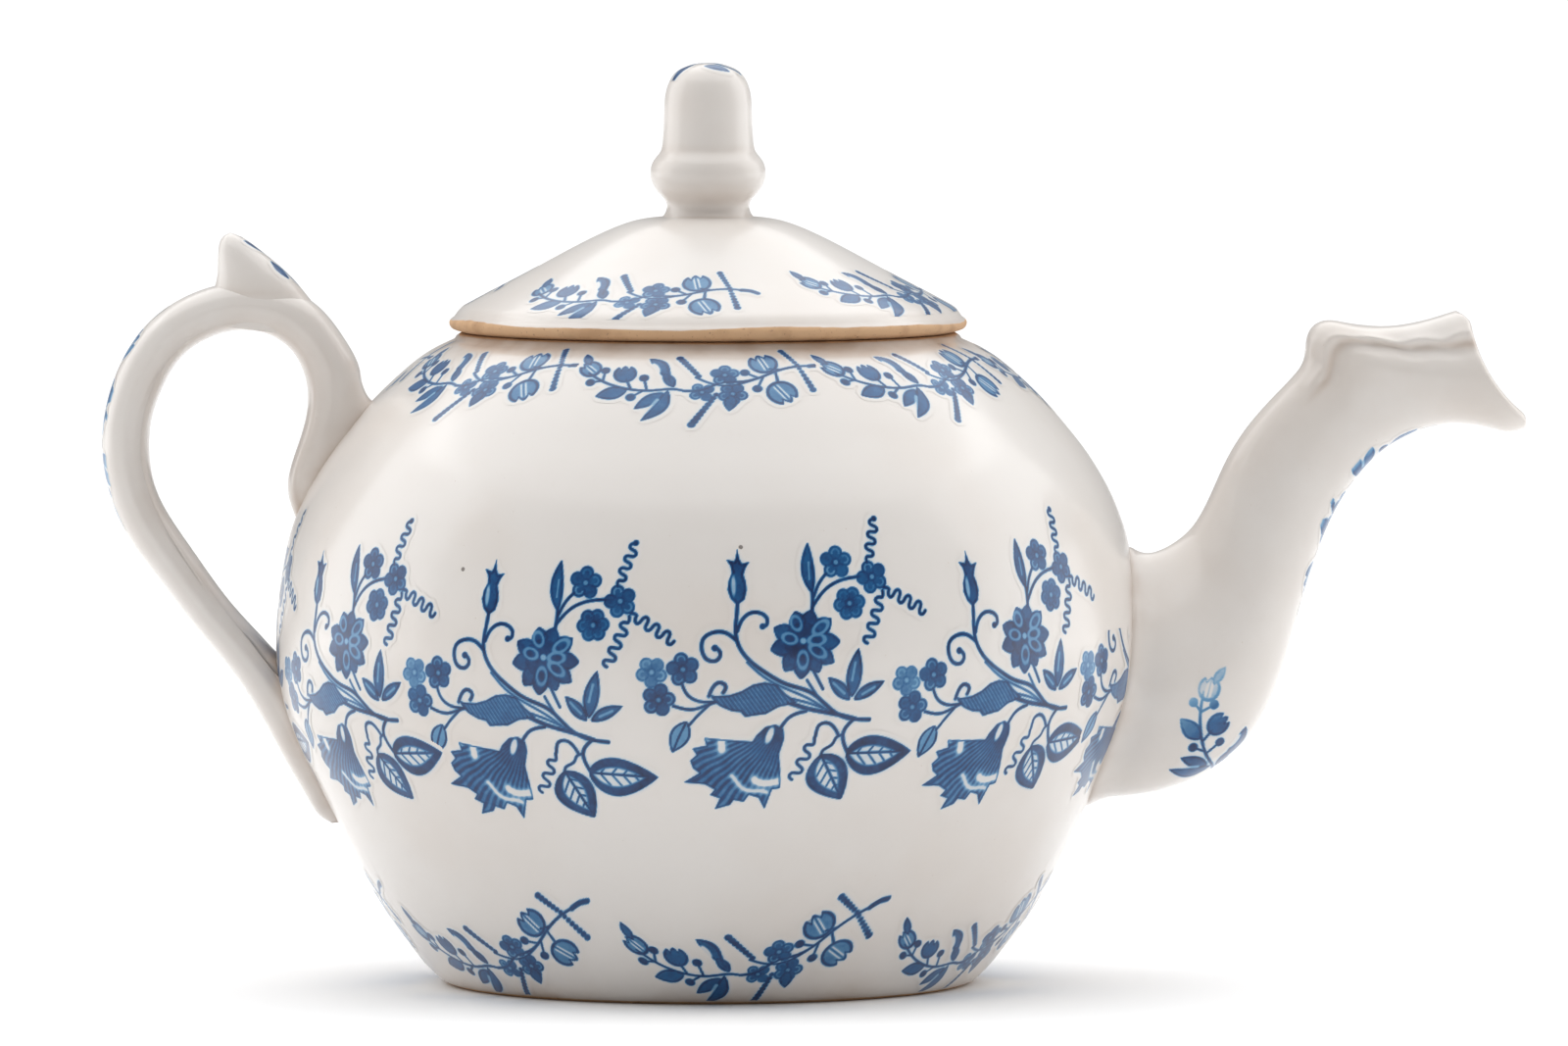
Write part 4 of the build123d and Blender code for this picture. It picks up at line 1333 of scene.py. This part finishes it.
# each spray: where it lies round the pot in degrees, its height in mm and its tilt in degrees
GARLAND = [
    (-9.7, 62.4, 0), (-43.6, 63.1, 3), (-77.3, 63.6, 0), (-111.5, 60.6, -4), (-145.2, 61.6, 3),
    (-179.1, 62.0, 0), (147.0, 61.4, 2), (113.1, 62.6, -3), (79.2, 61.8, 1), (45.3, 62.6, -2),
    (11.4, 62.0, 0),
]
for number, (degrees, z, tilt) in enumerate(GARLAND, 1):
    angle, points = wall_place(spray, body_wall, degrees, z, tilt, lift=LIFT + GARLAND_STEP * (number % 2))
    keep = clear_of_joints(angle, points)
    if abs(degrees) < 20:
        keep &= np.sign(degrees) * angle > STRAINER_HALF
        keep &= (spray.v < 0.5) | (degrees > 0)
    lay_transfer(f"print_garland_{number:02d}", spray, points, "pot", printed_body_stain_and_shade, keep)
print("garland of", len(GARLAND), "sprays")

# %% Sprigs round the shoulder and the foot
SPRIGS_ROUND = 7
for number in range(SPRIGS_ROUND):
    lift = LIFT + SPRIG_STEP * number
    angle, points = wall_place(sprig, body_wall, -91.0 + 48.5 * (number - 2), 105.6, lift=lift)
    keep = clear_of_joints(angle, points) & (points[..., 2] < 111.9)
    lay_transfer(f"print_shoulder_{number + 1}", sprig, points, "pot", printed_body_stain_and_shade, keep, 0.90)
for number in range(SPRIGS_ROUND):
    lift = LIFT + SPRIG_STEP * number
    angle, points = wall_place(sprig, body_wall, -80.6 + 51.2 * (number - 3), 6.6, 10, 0.0115, lift)
    keep = points[..., 2] > 0.7
    lay_transfer(f"print_foot_{number + 1}", sprig, points, "pot", printed_body_stain_and_shade, keep, 0.97)
print("sprigs on the pot:", 2 * SPRIGS_ROUND)

# %% Sprigs on the lid
def printed_lid_stain(points):
    return lid_stain(np.hypot(points[:, 0], points[:, 1]), points[:, 2], 0)


lid_wall = TurnedWall(DOME_LINE)
LID_SPRIGS = [(-110.9, 0), (-26.9, -9), (61.0, 2), (154.0, -3)]    # degrees round the lid, tilt
for number, (degrees, tilt) in enumerate(LID_SPRIGS, 1):
    angle, points = wall_place(sprig, lid_wall, degrees, 119.9, tilt, -0.0055)
    keep = points[..., 2] > 116.6
    lay_transfer(f"print_lid_{number}", sprig, points, "lid", printed_lid_stain, keep, 0.90)
print("sprigs on the lid:", len(LID_SPRIGS))

# %% [markdown]
# Spout, handle, thumb rest and knob carry scraps of the same transfers. Each scrap is pressed straight on
# to the piece: every inked point is sent along one direction until it meets the clay. The printer wrapped
# one sprig round the belly of the spout and smeared the end that shows on each side.

# %% Pressing scraps on to curved pieces
PRESS_FROM, PRESS_REACH = 25, 40    # mm outside the piece where a point starts, and how far it may go
SCRAP_STAIN = 0.07


def pressed(name, sheet, piece, body, centre, facing, run, anchor=(0, 0), strength=1.0, steepest=0.35):
    """Presses a sheet on to a piece; anchor is the sheet's point that lands at centre."""
    tree = tree_of([piece])
    facing, run = Vector(facing).normalized(), Vector(run)
    run = (run - facing * run.dot(facing)).normalized()
    rise = facing.cross(run)
    points = np.zeros((*sheet.u.shape, 3))
    keep = np.zeros(sheet.u.shape, bool)
    for i, j in np.argwhere(sheet.ink * strength > 0.005):
        u, v = sheet.u[i, j] - anchor[0], sheet.v[i, j] - anchor[1]
        start = Vector(centre) + run * u + rise * v + facing * PRESS_FROM
        place, normal, _, _ = tree.ray_cast(start, -facing, PRESS_REACH)
        if place and normal.dot(facing) > steepest:
            points[i, j] = place + normal * LIFT
            keep[i, j] = True
    lay_transfer(name, sheet, points, body, lambda flat: np.full(len(flat), SCRAP_STAIN), keep, strength)


pressed(
    "print_spout_near", sprig, spout, "pot", centre=(86.2, -10, 40.4), facing=(0.2, -1.0, -0.25),
    run=(0.5, 0, -1), anchor=(-9.0, -0.7), strength=np.clip((sprig.u + 22.0) / 9.0, 0.22, 1.0),
)
pressed(
    "print_spout_far", sprig, spout, "pot", centre=(87.6, 10, 39.8), facing=(0.2, 1.0, -0.25),
    run=(-0.15, 0, 1), anchor=(9.0, 1.0), strength=np.clip((24.0 - sprig.u) / 9.0, 0.30, 1.0),
)
pressed(
    "print_spout_neck", sprig, spout, "pot", centre=(109.6, 0, 83.6), facing=(0.8, 0, -0.6),
    run=(-0.6, 0, -0.8), strength=0.9 * soft(4.6 - np.abs(sprig.v), 1.2), steepest=0.25,
)
pressed(
    "print_handle", sprig, handle, "pot", centre=(-104.6, 0.6, 97.0), facing=(-1, 0, 0.02), run=(0, 0, 1),
    anchor=(0, 0.6), strength=0.75 * soft(4.6 - np.abs(sprig.v - 0.6), 1.2), steepest=0.45,
)
print("pressed on to spout and handle: 4")

# %% A scrap for the thumb rest and the knob
scrap = Sheet((-7.0, -5.0), (7.0, 5.0), 0.2)
scrap.leaf((-5.6, -2.6), (-1.2, -0.4), 0.9, 0.9, fill=0.9)
scrap.spike((-3.6, 1.6), (-0.6, 0.4), 0.9)
scrap.leaf((0.2, -2.8), (4.6, -3.4), 1.0, 1.0, fill=0.8)
scrap.stroke([(-6.0, 0.6), (-3.0, -0.6), (0.4, -0.2), (3.4, -1.6), (6.2, -1.2)], 0.5)
scrap.bell((2.2, 1.6), 2.0, 1.2)
scrap.dot((5.0, 1.8), 0.7)
scrap.bleed()
scrap.report("scrap")

pressed(
    "print_thumb_rest", scrap, thumb_rest, "pot", centre=(-76.4, 0.8, 124.6), facing=(0.62, -0.04, 0.78),
    run=(0.78, 0, -0.62), steepest=0.3,
)
pressed(
    "print_knob_top", scrap, knob, "lid", centre=(-0.8, -0.4, 158), facing=(0, -0.05, 1),
    run=(1, 0, 0), steepest=0.45,
)

# %% [markdown]
# A pale, even floor runs far beyond the frame, so the pot stands in open white. It is matt, because a shiny
# floor would mirror the pot.

# %% Floor
FLOOR_R = 60.0    # metres
FLOOR_CORNERS = 96
floor_turn = np.arange(FLOOR_CORNERS) / FLOOR_CORNERS * TAU
floor_points = np.stack([np.cos(floor_turn), np.sin(floor_turn), 0 * floor_turn], axis=1) * FLOOR_R
floor_mesh = bpy.data.meshes.new("floor")
floor_mesh.from_pydata(floor_points.tolist(), [], [tuple(range(FLOOR_CORNERS))])
floor = bpy.data.objects.new("floor", floor_mesh)
scene.collection.objects.link(floor)
floor_finish = Finish("pale_floor")
matt_white = {"Base Color": (0.93, 0.93, 0.93, 1.0), "Roughness": 0.9, "Specular IOR Level": 0.0}
floor_shader = floor_finish.node("ShaderNodeBsdfPrincipled", None, matt_white)
floor_finish.node("ShaderNodeOutputMaterial", None, {"Surface": floor_shader})
floor_mesh.materials.append(floor_finish.material)
print("floor", 2 * FLOOR_R, "m across")

# %% [markdown]
# Three kinds of light: a weak white sky fills the shadows, a very wide lamp overhead, leaning to the front,
# gives the soft shine on the lid and the shoulder, and two tall soft boxes at the sides leave the middle of
# the belly a little darker than its edges.

# %% Light
SKY_STRENGTH = 0.34
OVERHEAD_STRENGTH = 2.72
OVERHEAD_SPREAD, OVERHEAD_LEAN = math.radians(95), math.radians(-11)
BOX_SIZE, BOX_POWER = (0.9, 1.2), 5.3    # metres and watts
BOX_AIM = Vector((0, 0, 0.07))

world = bpy.data.worlds.new("studio")
scene.world = world
world.use_nodes = True
sky = world.node_tree.nodes["Background"]
sky.inputs["Color"].default_value = (1.0, 1.0, 1.0, 1.0)
sky.inputs["Strength"].default_value = SKY_STRENGTH

overhead_lamp = bpy.data.lights.new("overhead", "SUN")
overhead_lamp.energy = OVERHEAD_STRENGTH
overhead_lamp.angle = OVERHEAD_SPREAD
overhead = bpy.data.objects.new("overhead", overhead_lamp)
overhead.rotation_euler = (OVERHEAD_LEAN, 0, 0)
scene.collection.objects.link(overhead)

for name, side in (("box_left", -1), ("box_right", 1)):
    lamp = bpy.data.lights.new(name, "AREA")
    lamp.shape = "RECTANGLE"
    lamp.size, lamp.size_y = BOX_SIZE
    lamp.energy = BOX_POWER
    box = bpy.data.objects.new(name, lamp)
    box.location = (side * 0.95, 0.22, 0.30)
    box.rotation_euler = (BOX_AIM - box.location).to_track_quat("-Z", "Y").to_euler()
    scene.collection.objects.link(box)

# %% [markdown]
# Last, the sizes. Each made piece is set beside the part that it stands for.

# %% Sizes
made_for = {
    "pot_body": body, "spout": spout, "handle": handle, "thumb_rest": thumb_rest, "lid": lid,
    "lid_flange": flange, "lid_knob": knob,
}
for node, piece in made_for.items():
    points = np.empty(len(piece.data.vertices) * 3, np.float32)
    piece.data.vertices.foreach_get("co", points)
    points = points.reshape(-1, 3) / MM
    low, high = (corner.round(1).tolist() for corner in (points.min(axis=0), points.max(axis=0)))
    print(f"{node}: part {box_mm(node).tolist()}, made {[low, high]}")
